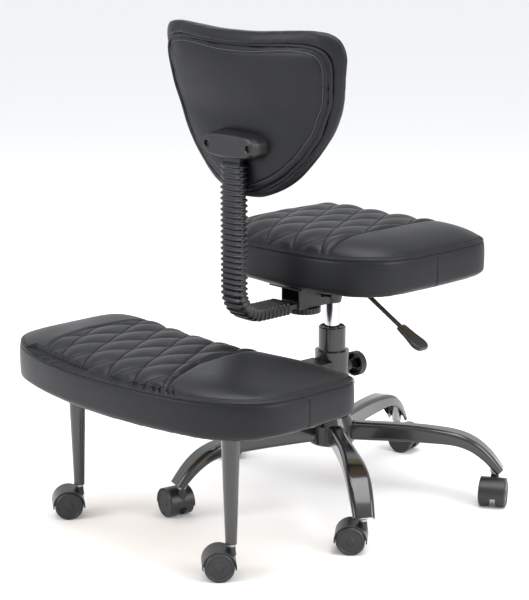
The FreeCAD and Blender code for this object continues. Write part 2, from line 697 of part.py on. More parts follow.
def depth_knob():
    """Fluted disc with the stud that clamps the back bar."""
    top = BAR_CENTRE - BAR_THICKNESS / 2 - RECEIVER_GAP - RECEIVER_WALL - KNOB_TOP_GAP
    disc = post(KNOB_RADIUS, top - KNOB_HEIGHT, top)
    flutes = []
    for index in range(KNOB_FLUTES):
        angle = math.radians(index * 360 / KNOB_FLUTES)
        x = (KNOB_RADIUS + KNOB_FLUTE_RADIUS / 2) * math.cos(angle)
        y = (KNOB_RADIUS + KNOB_FLUTE_RADIUS / 2) * math.sin(angle)
        flutes.append(post(KNOB_FLUTE_RADIUS, top - KNOB_HEIGHT - 1, top + 1, x, y))
    disc = disc.cut(Part.Compound(flutes))
    stud_top = BAR_CENTRE - BAR_THICKNESS / 2 - FACE_GAP
    stud = post(KNOB_STUD_RADIUS, top, stud_top)
    return moved(disc.fuse(stud), 0, KNOB_Y, 0)


def back_bar():
    """Flat steel bar, level under the seat and bent upright behind it."""
    half = BAR_THICKNESS / 2
    low = BAR_CENTRE - half
    high = BAR_CENTRE + half
    rear = BAR_REAR + half
    front = BAR_REAR - half
    bend_y = BAR_REAR - BAR_BEND
    bend_z = BAR_CENTRE + BAR_BEND
    diagonal = math.sqrt(0.5)

    def bend(radius):
        return V(0, bend_y + radius * diagonal, bend_z - radius * diagonal)

    corner = [V(0, BAR_FRONT, low), V(0, bend_y, low), V(0, rear, bend_z), V(0, rear, BAR_TOP),
              V(0, front, BAR_TOP), V(0, front, bend_z), V(0, bend_y, high), V(0, BAR_FRONT, high)]
    edges = [
        Part.LineSegment(corner[0], corner[1]).toShape(),
        Part.Arc(corner[1], bend(BAR_BEND + half), corner[2]).toShape(),
        Part.LineSegment(corner[2], corner[3]).toShape(),
        Part.LineSegment(corner[3], corner[4]).toShape(),
        Part.LineSegment(corner[4], corner[5]).toShape(),
        Part.Arc(corner[5], bend(BAR_BEND - half), corner[6]).toShape(),
        Part.LineSegment(corner[6], corner[7]).toShape(),
        Part.LineSegment(corner[7], corner[0]).toShape(),
    ]
    bar = Part.Face(Part.Wire(edges)).extrude(V(BAR_WIDTH, 0, 0))
    return moved(bar, -BAR_WIDTH / 2, 0, 0)


def bellows_station(distance):
    """Centre and thickness direction of the bellows at a distance from its top."""
    upright = RIB_COUNT_UPRIGHT * RIB_PITCH
    bend = BAR_BEND * math.pi / 2
    bend_z = BAR_CENTRE + BAR_BEND
    bend_y = BAR_REAR - BAR_BEND
    if distance <= upright:
        return V(0, BAR_REAR, bend_z + upright - distance), V(0, 1, 0)
    if distance >= upright + bend:
        return V(0, bend_y - (distance - upright - bend), BAR_CENTRE), V(0, 0, -1)
    angle = (distance - upright) / BAR_BEND
    outward = V(0, math.cos(angle), -math.sin(angle))
    return V(0, bend_y, bend_z) + outward * BAR_BEND, outward


def bellows_distances():
    """Distances of the four sections of every rib, with their depth below the crest."""
    pitches = [RIB_PITCH] * RIB_COUNT_UPRIGHT
    pitches += [BAR_BEND * math.pi / 2 / RIB_COUNT_BEND] * RIB_COUNT_BEND
    pitches += [RIB_PITCH] * RIB_COUNT_LEVEL
    root = (1 - RIB_CREST - 2 * RIB_FLANK) / 2
    start = 0.0
    for pitch in pitches:
        yield start + root * pitch, RIB_DEPTH
        yield start + (root + RIB_FLANK) * pitch, 0.0
        yield start + (root + RIB_FLANK + RIB_CREST) * pitch, 0.0
        yield start + (root + 2 * RIB_FLANK + RIB_CREST) * pitch, RIB_DEPTH
        start += pitch


def bellows_wire(distance, inset):
    centre, outward = bellows_station(distance)
    return rounded_wire(centre, V(1, 0, 0), outward, RIB_HALF_WIDTH - inset,
                        RIB_HALF_DEPTH - inset, RIB_CORNER - inset / 2)


def bellows():
    """Ribbed cover round the back bar, with a clear bore."""
    sections = list(bellows_distances())
    outer = Part.makeLoft([bellows_wire(*section) for section in sections], True, True)
    half_x = BAR_WIDTH / 2 + BELLOWS_BORE_GAP
    half_z = BAR_THICKNESS / 2 + BELLOWS_BORE_GAP
    wires = []
    last = sections[-1][0]
    count = RIB_COUNT_UPRIGHT + RIB_COUNT_BEND + RIB_COUNT_LEVEL
    for index in range(count + 1):
        distance = sections[0][0] - 1 + index * (last + 2 - sections[0][0]) / count
        centre, outward = bellows_station(distance)
        wires.append(rounded_wire(centre, V(1, 0, 0), outward, half_x, half_z, BELLOWS_BORE_GAP))
    return outer.cut(Part.makeLoft(wires, True, True))


def lever_pin(gap=0.0):
    pin = post(LEVER_PIN_RADIUS + gap, -LEVER_PIN_HALF - gap, LEVER_PIN_HALF + gap)
    return moved(turned(pin, 90, V(1, 0, 0)), LEVER_PIVOT_X, 0, LEVER_HEIGHT)


def lever_direction():
    angle = math.radians(LEVER_DROP)
    return V(-math.cos(angle), 0, -math.sin(angle))


def lever_rod():
    """Bent rod whose inner end lies over the release pin, with its cross pin."""
    bend = V(LEVER_BEND_X, 0, LEVER_HEIGHT)
    inner = Part.makeCylinder(LEVER_RADIUS, RELEASE_RADIUS - LEVER_BEND_X, bend, V(1, 0, 0))
    outer = Part.makeCylinder(LEVER_RADIUS, LEVER_RUN, bend, lever_direction())
    return inner.fuse(outer).fuse(Part.makeSphere(LEVER_RADIUS, bend)).fuse(lever_pin())


def lever_grip():
    """Flat paddle on the rod's outer end, widest near its rounded tip."""
    direction = lever_direction()
    normal = V(-direction.z, 0, direction.x)
    start = V(LEVER_BEND_X, 0, LEVER_HEIGHT) + direction * (LEVER_RUN - GRIP_OVERLAP)
    stations = (
        (0.0, GRIP_START_WIDTH, 0.85), (0.1, GRIP_START_WIDTH + 1, 1.0), (0.45, 0.5 * (
            GRIP_START_WIDTH + GRIP_END_WIDTH), 1.0),
        (GRIP_SHOULDER, GRIP_END_WIDTH, 0.95), (1.0, GRIP_TIP_WIDTH, 0.75),
    )
    wires = []
    for share, width, thick in stations:
        origin = start + direction * (share * GRIP_LENGTH)
        wires.append(rounded_wire(origin, V(0, 1, 0), normal, width / 2,
                                  thick * GRIP_THICKNESS / 2, GRIP_CORNER))
    grip = Part.makeLoft(wires, True, False)
    bore = Part.makeCylinder(LEVER_RADIUS, GRIP_OVERLAP + 2, start - direction * 2, direction)
    return grip.cut(bore)


def back_face(x, offset, height):
    """Distance behind the column of the curved back's layer at an offset."""
    radius = (BACK_HALF ** 2 + BACK_WRAP ** 2) / (2 * BACK_WRAP)
    lean = BACK_LEAN * max(0.0, height - BACK_LEAN_START)
    return BACK_MIDDLE + offset + lean - (radius - math.sqrt(radius ** 2 - x * x))


def back_swell(share):
    """Share of the full thickness at a share of the height."""
    across = 2 * share - 1
    return BACK_RIM + (1 - BACK_RIM) * math.sqrt(1 - across ** 6)


def back_point(half, split, front, rear, degrees, height):
    cosine = math.cos(math.radians(degrees))
    sine = math.sin(math.radians(degrees))
    x = half * math.copysign(abs(cosine) ** (2 / BACK_POWER), cosine)
    depth = abs(sine) ** (2 / BACK_POWER)
    return V(x, back_face(x, split + depth * (rear if sine > 0 else -front), height), height)


def back_wire(half, split, front, rear, height):
    """Crescent section of eight arcs, to a front and a rear depth from its split."""
    edges = []
    for octant in range(8):
        ends = [back_point(half, split, front, rear, 45 * (octant + part), height)
                for part in (0.0, 0.5, 1.0)]
        edges.append(Part.Arc(*ends).toShape())
    return Part.Wire(edges)


def back_stations(bottom, top, inset):
    for share, width in BACK_OUTLINE:
        yield bottom + share * (top - bottom), BACK_HALF * width - inset, back_swell(share)


def back_layer(bottom, top, inset, split, front, rear):
    """Loft of one upholstered layer, thinner at its top and bottom edges."""
    wires = []
    for height, half, swell in back_stations(bottom, top, inset):
        wires.append(back_wire(half, split, front * swell, rear * swell, height))
    return Part.makeLoft(wires, True, False)


def back_slab(bottom, top, inset, near, far):
    """Curved slab with square edges between two offsets from the middle."""
    wires = []
    for height, half, _swell in back_stations(bottom, top, inset):
        corners = []
        for side, offset in ((-1, far), (1, far), (1, near), (-1, near)):
            corners.append(V(side * half, back_face(half, offset, height), height))
        rear = Part.Arc(corners[0], V(0, back_face(0, far, height), height), corners[1])
        front = Part.Arc(corners[2], V(0, back_face(0, near, height), height), corners[3])
        wires.append(Part.Wire([
            rear.toShape(), Part.LineSegment(corners[1], corners[2]).toShape(),
            front.toShape(), Part.LineSegment(corners[3], corners[0]).toShape(),
        ]))
    return Part.makeLoft(wires, True, True)


def back_board(gap=0.0):
    """Curved board buried in the cushion, flat against the rear panel."""
    return back_slab(BACK_BOTTOM + BACK_BOARD_INSET - gap, BACK_TOP - BACK_BOARD_INSET + gap,
                     BACK_BOARD_INSET - gap, REAR_PANEL_SPLIT - BACK_BOARD_THICKNESS - gap,
                     REAR_PANEL_SPLIT - BACK_SEAM_GAP + gap)


def back_cushion():
    body = back_layer(BACK_BOTTOM, BACK_TOP, 0.0, 0.0, BACK_DEPTH, BACK_DEPTH)
    behind = back_slab(BACK_BOTTOM + REAR_PANEL_BOTTOM - BACK_SEAM_GAP,
                       BACK_TOP - REAR_PANEL_TOP + BACK_SEAM_GAP, REAR_PANEL_INSET - BACK_SEAM_GAP,
                       REAR_PANEL_SPLIT - BACK_SEAM_GAP, 2 * BACK_DEPTH)
    return body.cut(behind).cut(back_board(FACE_GAP)).cut(housing_screw_holes(0))


def back_panel():
    panel = back_layer(BACK_BOTTOM + REAR_PANEL_BOTTOM, BACK_TOP - REAR_PANEL_TOP, REAR_PANEL_INSET,
                       REAR_PANEL_SPLIT, 0.0, REAR_PANEL_DEPTH)
    return panel.cut(housing_screw_holes(FACE_GAP)).cut(back_housing_blank())


def housing_screws():
    """Two screws from the housing's recesses into the board."""
    height = HOUSING_BOTTOM + HOUSING_HEIGHT / 2
    seat = BACK_REAR + HOUSING_DEPTH - HOUSING_RECESS_DEPTH
    tip = BACK_MIDDLE + REAR_PANEL_SPLIT - BACK_BOARD_THICKNESS + 2
    screws = []
    for x in (-HOUSING_SCREW_X, HOUSING_SCREW_X):
        screw = post(SCREW_RADIUS, tip, seat)
        screw = screw.fuse(post(SCREW_HEAD_RADIUS, seat, seat + SCREW_HEAD_HEIGHT))
        screws.append(moved(turned(screw, -90, V(1, 0, 0)), x, 0, height))
    return Part.Compound(screws)


def housing_screw_holes(gap):
    height = HOUSING_BOTTOM + HOUSING_HEIGHT / 2
    tip = BACK_MIDDLE + REAR_PANEL_SPLIT - BACK_BOARD_THICKNESS
    holes = []
    for x in (-HOUSING_SCREW_X, HOUSING_SCREW_X):
        hole = post(SCREW_RADIUS + gap, tip, BACK_REAR + HOUSING_DEPTH + 1)
        holes.append(moved(turned(hole, -90, V(1, 0, 0)), x, 0, height))
    return Part.Compound(holes)


def back_housing_blank():
    """Drafted block with rounded ends that stands on the rear panel."""
    height = HOUSING_BOTTOM + HOUSING_HEIGHT / 2
    wires = []
    for share in (0.0, 0.62, 1.0):
        draft = HOUSING_DRAFT * share ** 2
        origin = V(0, BACK_REAR - HOUSING_SINK + share * (HOUSING_DEPTH + HOUSING_SINK), height)
        wires.append(rounded_wire(origin, V(1, 0, 0), UP, HOUSING_WIDTH / 2 - draft,
                                  HOUSING_HEIGHT / 2 - draft * 0.6, HOUSING_CORNER - draft * 0.4))
    return Part.makeLoft(wires, True, True)


def back_housing():
    """Plastic bracket that takes the bar's top end."""
    body = back_housing_blank()
    half_x = BAR_WIDTH / 2
    half_y = BAR_THICKNESS / 2
    slot = block(-half_x, half_x, BAR_REAR - half_y, BAR_REAR + half_y, HOUSING_BOTTOM - 1, BAR_TOP)
    height = HOUSING_BOTTOM + HOUSING_HEIGHT / 2
    seat = BACK_REAR + HOUSING_DEPTH - HOUSING_RECESS_DEPTH
    recesses = []
    for x in (-HOUSING_SCREW_X, HOUSING_SCREW_X):
        recess = post(HOUSING_RECESS, seat, seat + 2 * HOUSING_RECESS_DEPTH)
        recesses.append(moved(turned(recess, -90, V(1, 0, 0)), x, 0, height))
    return body.cut(slot).cut(Part.Compound(recesses)).cut(housing_screw_holes(0))


def pad_sleeve():
    """Sleeve on the column with the boss for the clamp knob."""
    body = post(SLEEVE_RADIUS, SLEEVE_BOTTOM, SLEEVE_TOP)
    front = V(0, -1, 0)
    boss = Part.makeCylinder(CLAMP_BOSS_RADIUS, CLAMP_BOSS_END, V(0, 0, CLAMP_HEIGHT), front)
    collar = Part.makeCylinder(DOME_RADIUS, DOME_START, V(0, 0, DOME_HEIGHT), front)
    body = body.fuse(boss).fuse(collar)
    body = body.cut(post(TUBE_RADIUS + FACE_GAP, SLEEVE_BOTTOM - 1, SLEEVE_TOP + 1))
    stud = Part.makeCylinder(CLAMP_STUD_RADIUS + CLAMP_STUD_GAP, 2 * CLAMP_BOSS_END,
                             V(0, 0, CLAMP_HEIGHT), front)
    return body.cut(stud)


def pad_arm():
    """Square tube from the sleeve to the far edge of the pad's board."""
    top = PAD_BOTTOM
    bottom = top - ARM_TUBE_HEIGHT
    half = ARM_TUBE_WIDTH / 2
    wall = ARM_TUBE_WALL
    tube = block(-half, half, ARM_TUBE_FRONT, ARM_TUBE_END, bottom, top)
    hollow = block(-half + wall, half - wall, ARM_TUBE_FRONT - 1, ARM_TUBE_END + 1,
                   bottom + wall, top - wall)
    tube = tube.cut(hollow).cut(post(SLEEVE_RADIUS, bottom - 1, top + 1))
    return tube.cut(pad_bolt_holes())


def pad_bolt_places():
    places = []
    for x in (-PAD_BOLT_X, PAD_BOLT_X):
        for y in PAD_BOLT_Y:
            places.append((x, y, PAD_BOTTOM - ARM_TUBE_HEIGHT))
    for side in (-1, 1):
        for index in range(LEG_SCREWS):
            angle = math.radians(90 + 120 * index)
            x = PAD_SIDE + side * LEG_SPREAD + LEG_SCREW_CIRCLE * math.cos(angle)
            y = LEG_Y + LEG_SCREW_CIRCLE * math.sin(angle)
            places.append((x, y, PAD_BOTTOM - LEG_PLATE_THICKNESS))
    return places


def pad_bolt_holes():
    holes = [post(BOLT_RADIUS + BOLT_HOLE_GAP, under - 1, PAD_BOTTOM + BOLT_REACH + 1, x, y)
             for x, y, under in pad_bolt_places()]
    return Part.Compound(holes)


def pad_bolts():
    bolts = [bolt(x, y, under, PAD_BOTTOM - under + BOLT_REACH) for x, y, under in pad_bolt_places()]
    return Part.Compound(bolts)


def leg(side):
    """Tapered tube leg with the plate that screws to the pad's board."""
    x = PAD_SIDE + side * LEG_SPREAD
    top = PAD_BOTTOM - LEG_PLATE_THICKNESS
    length = top - SOCKET_HEIGHT
    cone = Part.makeCone(LEG_BOTTOM_RADIUS, LEG_TOP_RADIUS, length, V(x, LEG_Y, SOCKET_HEIGHT))
    bore = Part.makeCone(LEG_BOTTOM_RADIUS - LEG_WALL, LEG_TOP_RADIUS - LEG_WALL, length,
                         V(x, LEG_Y, SOCKET_HEIGHT))
    plate = post(LEG_PLATE_RADIUS, top, PAD_BOTTOM, x, LEG_Y)
    return cone.cut(bore).fuse(plate).cut(pad_bolt_holes())


def leg_sockets():
    """Plugs in the legs' feet that take the caster stems."""
    slope = (LEG_TOP_RADIUS - LEG_BOTTOM_RADIUS) / (PAD_BOTTOM - LEG_PLATE_THICKNESS - SOCKET_HEIGHT)
    foot = LEG_BOTTOM_RADIUS - LEG_WALL
    plugs = []
    for side in (-1, 1):
        x = PAD_SIDE + side * LEG_SPREAD
        plug = Part.makeCone(foot, foot + slope * LEG_FOOT, LEG_FOOT, V(x, LEG_Y, SOCKET_HEIGHT))
        bore = post(STEM_RADIUS + RUN_GAP, SOCKET_HEIGHT - 1, SOCKET_HEIGHT + STEM_SEAT + FACE_GAP,
                    x, LEG_Y)
        plugs.append(plug.cut(bore))
    return Part.Compound(plugs)


def clamp_knob():
    """Hollow-backed round knob with its stud and nut, pointing away from the pad."""
    back = CLAMP_KNOB_BACK
    end = back + CLAMP_KNOB_LENGTH
    radius = CLAMP_KNOB_RADIUS
    dome = CLAMP_KNOB_DOME
    hollow = radius - CLAMP_KNOB_WALL
    floor = end - CLAMP_KNOB_WALL - dome
    profile = (
        (0, back), (CLAMP_KNOB_HUB, back), (CLAMP_KNOB_HUB, floor), (hollow, floor), (hollow, back),
        (radius, back), (radius, end - 2 * dome), (radius - dome, end - dome / 2),
        (radius - 3 * dome, end), (0, end),
    )
    knob = lathe(profile)
    stud = post(CLAMP_STUD_RADIUS, TUBE_RADIUS + 2 * FACE_GAP, back)
    nut = moved(hex_head(NUT_RADIUS, NUT_HEIGHT), 0, 0, back - NUT_HEIGHT)
    knob = knob.fuse(stud).fuse(nut)
    return moved(turned(knob, 90, V(1, 0, 0)), 0, 0, CLAMP_HEIGHT)


def dome_bolt():
    """Domed steel cap on the sleeve's lower boss."""
    dome = Part.makeSphere(DOME_RADIUS, V(0, 0, DOME_START), UP, 0, 90, 360)
    return moved(turned(dome, 90, V(1, 0, 0)), 0, 0, DOME_HEIGHT)


def pad_nodes():
    nodes = {
        "pad_sleeve": pad_sleeve(),
        "pad_arm": pad_arm(),
        "pad_board": cushion_board(PAD, PAD_BOARD_THICKNESS).cut(pad_bolt_holes()),
        "pad_cushion": padded_cushion(PAD, PAD_BOARD_THICKNESS),
        "pad_bolts": pad_bolts(),
        "leg_left": leg(1),
        "leg_right": leg(-1),
        "leg_sockets": leg_sockets(),
        "clamp_knob": clamp_knob(),
        "dome_bolt": dome_bolt(),
    }
    for number, side, trail in ((6, 1, PAD_TRAILS[0]), (7, -1, PAD_TRAILS[1])):
        x = PAD_SIDE + side * LEG_SPREAD
        nodes.update(caster("caster_%d" % number, x, LEG_Y, trail - PAD_TURN))
    return {name: turned(shape, PAD_TURN) for name, shape in nodes.items()}


def seat_nodes():
    return {
        "gas_cylinder": gas_cylinder(),
        "release_pin": release_pin(),
        "mechanism_plate": mechanism_plate(),
        "bar_receiver": receiver(),
        "depth_knob": depth_knob(),
        "seat_bolts": seat_bolts(),
        "seat_board": cushion_board(SEAT, BOARD_THICKNESS).cut(seat_bolt_holes()),
        "seat_cushion": padded_cushion(SEAT, BOARD_THICKNESS),
        "lever_rod": lever_rod(),
        "lever_grip": lever_grip(),
    }


def back_nodes():
    return {
        "back_bar": back_bar(),
        "bellows": bellows(),
        "back_housing": back_housing(),
        "housing_screws": housing_screws(),
        "back_board": back_board().cut(housing_screw_holes(0)),
        "back_cushion": back_cushion(),
        "back_panel": back_panel(),
    }


def base_nodes():
    nodes = {
        "base_hub": base_hub(),
        "column_tube": column_tube(),
        "column_bush": column_bush(),
        "thrust_bearing": thrust_bearing(),
        "retaining_clip": retaining_clip(),
        "piston_rod": piston_rod(),
    }
    nodes.update(base_arms())
    nodes.update(base_casters())
    return nodes


def main():
    os.makedirs("parts", exist_ok=True)
    nodes = {}
    for group in (base_nodes(), seat_nodes(), back_nodes(), pad_nodes()):
        nodes.update(group)
    for name, shape in sorted(nodes.items()):
        print("%-18s solids %d  volume %.1f cm3  valid %s" % (
            name, len(shape.Solids), shape.Volume / 1000, shape.isValid()))
        shape.exportStep("parts/%s.step" % name)
    print("%d nodes" % len(nodes))


main()
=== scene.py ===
# %% [markdown]
# # A kneeling chair, dressed for a studio picture
# The steel, wood and plastic come ready made from the construction model, in metres.
# Here they get their finishes, and the upholstery and the rubber bellows are modelled,
# because cloth over foam has shapes that a construction model only hints at.

# %% Load the frame
import json
import math
import bpy
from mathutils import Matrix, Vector
from mathutils.bvhtree import BVHTree
from mathutils.kdtree import KDTree


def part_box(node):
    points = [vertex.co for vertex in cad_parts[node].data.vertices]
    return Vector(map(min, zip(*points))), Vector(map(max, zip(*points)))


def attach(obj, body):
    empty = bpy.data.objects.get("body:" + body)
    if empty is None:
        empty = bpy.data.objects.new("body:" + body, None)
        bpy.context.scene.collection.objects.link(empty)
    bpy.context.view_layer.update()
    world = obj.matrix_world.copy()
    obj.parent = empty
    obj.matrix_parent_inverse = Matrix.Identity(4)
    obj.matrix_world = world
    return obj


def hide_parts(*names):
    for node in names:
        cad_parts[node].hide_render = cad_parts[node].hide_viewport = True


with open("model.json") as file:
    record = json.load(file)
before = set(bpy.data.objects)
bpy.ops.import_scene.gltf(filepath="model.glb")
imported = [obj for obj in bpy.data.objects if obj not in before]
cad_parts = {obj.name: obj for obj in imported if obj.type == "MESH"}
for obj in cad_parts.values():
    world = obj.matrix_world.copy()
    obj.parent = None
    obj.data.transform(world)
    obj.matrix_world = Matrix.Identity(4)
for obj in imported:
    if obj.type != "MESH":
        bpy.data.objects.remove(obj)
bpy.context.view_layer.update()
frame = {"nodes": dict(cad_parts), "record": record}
NODES = frame["nodes"]
print("construction model:", len(NODES), "pieces")

# %% [markdown]
# ## Camera
# The picture was taken from behind the chair's right side, a little above the seat.
# A long lens from 3.4 metres keeps the seat, the pad and the base in their true
# proportions, so the lens and the place are set by numbers and nothing is tracked.

# %% Camera
LENS = 108.79         # mm
CAMERA_PLACE = (-2.2042, 2.3231, 1.1277)
CAMERA_TILT = 76.648  # degrees up from looking straight down
CAMERA_TURN = 225.7   # degrees about the vertical
camera = bpy.data.objects.new("camera", bpy.data.cameras.new("camera"))
bpy.context.scene.collection.objects.link(camera)
bpy.context.scene.camera = camera
camera.data.lens = LENS
camera.location = CAMERA_PLACE
camera.rotation_euler = (math.radians(CAMERA_TILT), 0, math.radians(CAMERA_TURN))
print("camera stands", round(camera.location.length, 2), "m away")

# %% [markdown]
# ## Floor and light
# A pale seamless floor, one big soft light above the chair, and two weaker ones, at its
# right side and behind it. Large lights give black leather and gloss enamel their long
# soft highlights.

# %% Floor and light
FLOOR_SIZE = 70  # metres, so that no edge shows


def hex_colour(text):
    """Linear colour with alpha from an sRGB hex value."""
    shares = [int(text[i:i + 2], 16) / 255 for i in (0, 2, 4)]
    linear = [s / 12.92 if s <= 0.04045 else ((s + 0.055) / 1.055) ** 2.4 for s in shares]
    return (*linear, 1.0)


def add_node(tree, kind, feeds=None, **settings):
    """Adds a node, sets its properties, and sets or links its inputs."""
    made = tree.nodes.new(kind)
    for name, value in settings.items():
        setattr(made, name, value)
    for name, value in (feeds or {}).items():
        if isinstance(value, bpy.types.NodeSocket):
            tree.links.new(value, made.inputs[name])
        else:
            made.inputs[name].default_value = value
    return made


def start_material(name):
    """New material with a shader wired to its output, and Object coordinates."""
    material = bpy.data.materials.new(name)
    material.use_nodes = True
    tree = material.node_tree
    tree.nodes.clear()
    shader = add_node(tree, "ShaderNodeBsdfPrincipled")
    add_node(tree, "ShaderNodeOutputMaterial", {"Surface": shader.outputs["BSDF"]})
    place = add_node(tree, "ShaderNodeTexCoord").outputs["Object"]
    return material, tree, shader, place


def select_only(piece):
    """Selects one piece and makes it the active one."""
    bpy.ops.object.select_all(action="DESELECT")
    piece.select_set(True)
    bpy.context.view_layer.objects.active = piece


paper, tree, shader, place = start_material("matt_paper_floor")
grain = add_node(tree, "ShaderNodeTexNoise", {"Vector": place, "Scale": 90.0})
rise = add_node(tree, "ShaderNodeBump", {"Height": grain.outputs[0], "Strength": 0.02})
tree.links.new(rise.outputs[0], shader.inputs["Normal"])
shader.inputs["Base Color"].default_value = hex_colour("FAFAFA")
shader.inputs["Roughness"].default_value = 0.8

bpy.ops.object.select_all(action="DESELECT")
bpy.ops.mesh.primitive_plane_add(size=FLOOR_SIZE, location=(0, 0, 0))
floor = bpy.context.object
floor.name = "floor"
floor.data.materials.append(paper)

world = bpy.data.worlds.new("studio")
bpy.context.scene.world = world
world.use_nodes = True
world.node_tree.nodes["Background"].inputs["Color"].default_value = hex_colour("F6F7FA")
world.node_tree.nodes["Background"].inputs["Strength"].default_value = 1.0
bpy.context.scene.view_settings.view_transform = "Standard"


def soft_light(name, place_at, aim, width, height, watts):
    """Rectangular soft box turned towards a point."""
    light = bpy.data.lights.new(name, "AREA")
    light.shape = "RECTANGLE"
    light.size = width
    light.size_y = height
    light.energy = watts
    lamp = bpy.data.objects.new(name, light)
    bpy.context.scene.collection.objects.link(lamp)
    lamp.location = place_at
    lamp.rotation_euler = (Vector(aim) - Vector(place_at)).to_track_quat("-Z", "Y").to_euler()


soft_light("top_box", (-0.3, 0.4, 2.6), (0, 0.1, 0.4), 2.2, 2.2, 70)
soft_light("right_box", (-2.4, -0.4, 1.4), (0, 0.1, 0.4), 1.2, 1.6, 34)
soft_light("rear_box", (0.9, 2.6, 1.5), (0, 0.2, 0.4), 1.4, 1.4, 30)
print("lights: 3 soft boxes")

# %% [markdown]
# ## Black synthetic leather
# Polyurethane leather is a cloth backing with a pressed film on it. The press gives it a
# fine grain of shallow cells, about 1.1 mm apart, and the film has a satin sheen that is
# a little duller where it is stretched. Voronoi cells make the grain, drawn at 1.6 mm so
# that it still shows, and a slow noise varies the gloss.

# %% Black synthetic leather
GRAIN_CELLS = 620.0  # in a metre, so they are 1.6 mm apart


def pressed_leather(name):
    """Leather with its grain; returns the material and the parts a seam is added to."""
    material, tree, shader, place = start_material(name)
    cells = add_node(tree, "ShaderNodeTexVoronoi", {"Vector": place, "Scale": GRAIN_CELLS},
                     feature="DISTANCE_TO_EDGE")
    grain = add_node(tree, "ShaderNodeTexNoise", {"Vector": place, "Scale": 900.0,
                                                  "Detail": 2.0})
    wrinkle = add_node(tree, "ShaderNodeTexNoise", {"Vector": place, "Scale": 55.0,
                                                    "Detail": 4.0})
    low = add_node(tree, "ShaderNodeBump", {"Height": wrinkle.outputs[0], "Strength": 0.10,
                                            "Distance": 0.0012})
    middle = add_node(tree, "ShaderNodeBump", {"Height": cells.outputs[0], "Strength": 0.22,
                                               "Distance": 0.0004, "Normal": low.outputs[0]})
    high = add_node(tree, "ShaderNodeBump", {"Height": grain.outputs[0], "Strength": 0.12,
                                             "Distance": 0.0003, "Normal": middle.outputs[0]})
    tree.links.new(high.outputs[0], shader.inputs["Normal"])
    gloss = add_node(tree, "ShaderNodeTexNoise", {"Vector": place, "Scale": 9.0, "Detail": 3.0})
    spread = add_node(tree, "ShaderNodeMapRange", {"Value": gloss.outputs[0], "From Min": 0.3,
                                                   "From Max": 0.7, "To Min": 0.36,
                                                   "To Max": 0.46})
    tree.links.new(spread.outputs[0], shader.inputs["Roughness"])
    tint = add_node(tree, "ShaderNodeValToRGB", {"Fac": wrinkle.outputs[0]})
    tint.color_ramp.elements[0].color = hex_colour("0E0F11")
    tint.color_ramp.elements[1].color = hex_colour("151619")
    tree.links.new(tint.outputs[0], shader.inputs["Base Color"])
    shader.inputs["IOR"].default_value = 1.34
    return material, tree, shader, place, high, tint


leather = pressed_leather("polyurethane_leather_pressed")[0]
print("leather cells", round(1000 / GRAIN_CELLS, 1), "mm apart")

# %% [markdown]
# ## Enamel, plating and moulded plastic
# Stove enamel is sprayed and baked: a deep gloss with a faint orange-peel of about 4 mm.
# Powder coat is duller, with a finer peel. Zinc and chrome are metals with the default
# index of refraction. Injection-moulded plastic has the fine spark-eroded grain of its
# mould, and the bellows rubber is smoother, with the soft gloss of a release film.

# %% Enamel, plating and moulded plastic
MM = 0.001


def finished(name, base, deep, rough, peel_mm, strength, metal=0.0, coat=0.0):
    """Material of one colour family with a peel or grain of a size in millimetres."""
    material, tree, shader, place = start_material(name)
    peel = add_node(tree, "ShaderNodeTexNoise", {"Vector": place, "Scale": 1000 / peel_mm,
                                                 "Detail": 2.0})
    bump = add_node(tree, "ShaderNodeBump", {"Height": peel.outputs[0], "Strength": strength,
                                             "Distance": peel_mm * MM / 12})
    tree.links.new(bump.outputs[0], shader.inputs["Normal"])
    cloud = add_node(tree, "ShaderNodeTexNoise", {"Vector": place, "Scale": 14.0, "Detail": 4.0})
    tint = add_node(tree, "ShaderNodeValToRGB", {"Fac": cloud.outputs[0]})
    tint.color_ramp.elements[0].color = hex_colour(deep)
    tint.color_ramp.elements[1].color = hex_colour(base)
    tree.links.new(tint.outputs[0], shader.inputs["Base Color"])
    wear = add_node(tree, "ShaderNodeMapRange", {"Value": cloud.outputs[0], "From Min": 0.3,
                                                 "From Max": 0.7, "To Min": rough * 0.85,
                                                 "To Max": rough * 1.15})
    tree.links.new(wear.outputs[0], shader.inputs["Roughness"])
    shader.inputs["Metallic"].default_value = metal
    if coat:
        shader.inputs["Coat Weight"].default_value = coat
        shader.inputs["Coat Roughness"].default_value = 0.08
    return material


# Deep gloss black: nearly all the eye sees is the light reflected in it.
ENAMEL = finished("stove_enamel_gloss", "0E0E10", "09090A", 0.22, 4.0, 0.12, 0.0, 0.6)
# The column's enamel is a touch greyer and softer.
SATIN = finished("stove_enamel_satin", "121315", "0C0D0E", 0.28, 3.0, 0.10, 0.0, 0.3)
# Powder coat: the light breaks up in a fine peel.
POWDER = finished("powder_coat_satin", "101113", "0B0C0D", 0.42, 1.6, 0.20)
# Bright zinc: cool grey metal with a slightly cloudy reflection.
ZINC = finished("bright_zinc_plate", "B4B6BA", "A2A4A8", 0.34, 2.0, 0.10, 1.0)
# Chrome on a turned rod: a clear mirror.
CHROME = finished("hard_chrome_turned", "C9CBCF", "BDBFC3", 0.12, 3.0, 0.02, 1.0)
# Nylon and polypropylene with a spark-eroded grain: a grey haze over black.
PLASTIC = finished("polypropylene_moulded", "131416", "0E0F10", 0.40, 1.2, 0.22)
CASTER = finished("nylon_moulded", "1C1D20", "151618", 0.38, 1.4, 0.20)
# Moulded rubber: soft highlights along each rib.
RUBBER = finished("rubber_bellows_moulded", "151619", "0F1012", 0.30, 1.5, 0.15)
print("enamels, metals, plastics and rubber: 8")

# %% [markdown]
# ## Sewing thread
# Bonded polyester thread, 0.9 mm thick and twisted, a shade lighter than the leather.

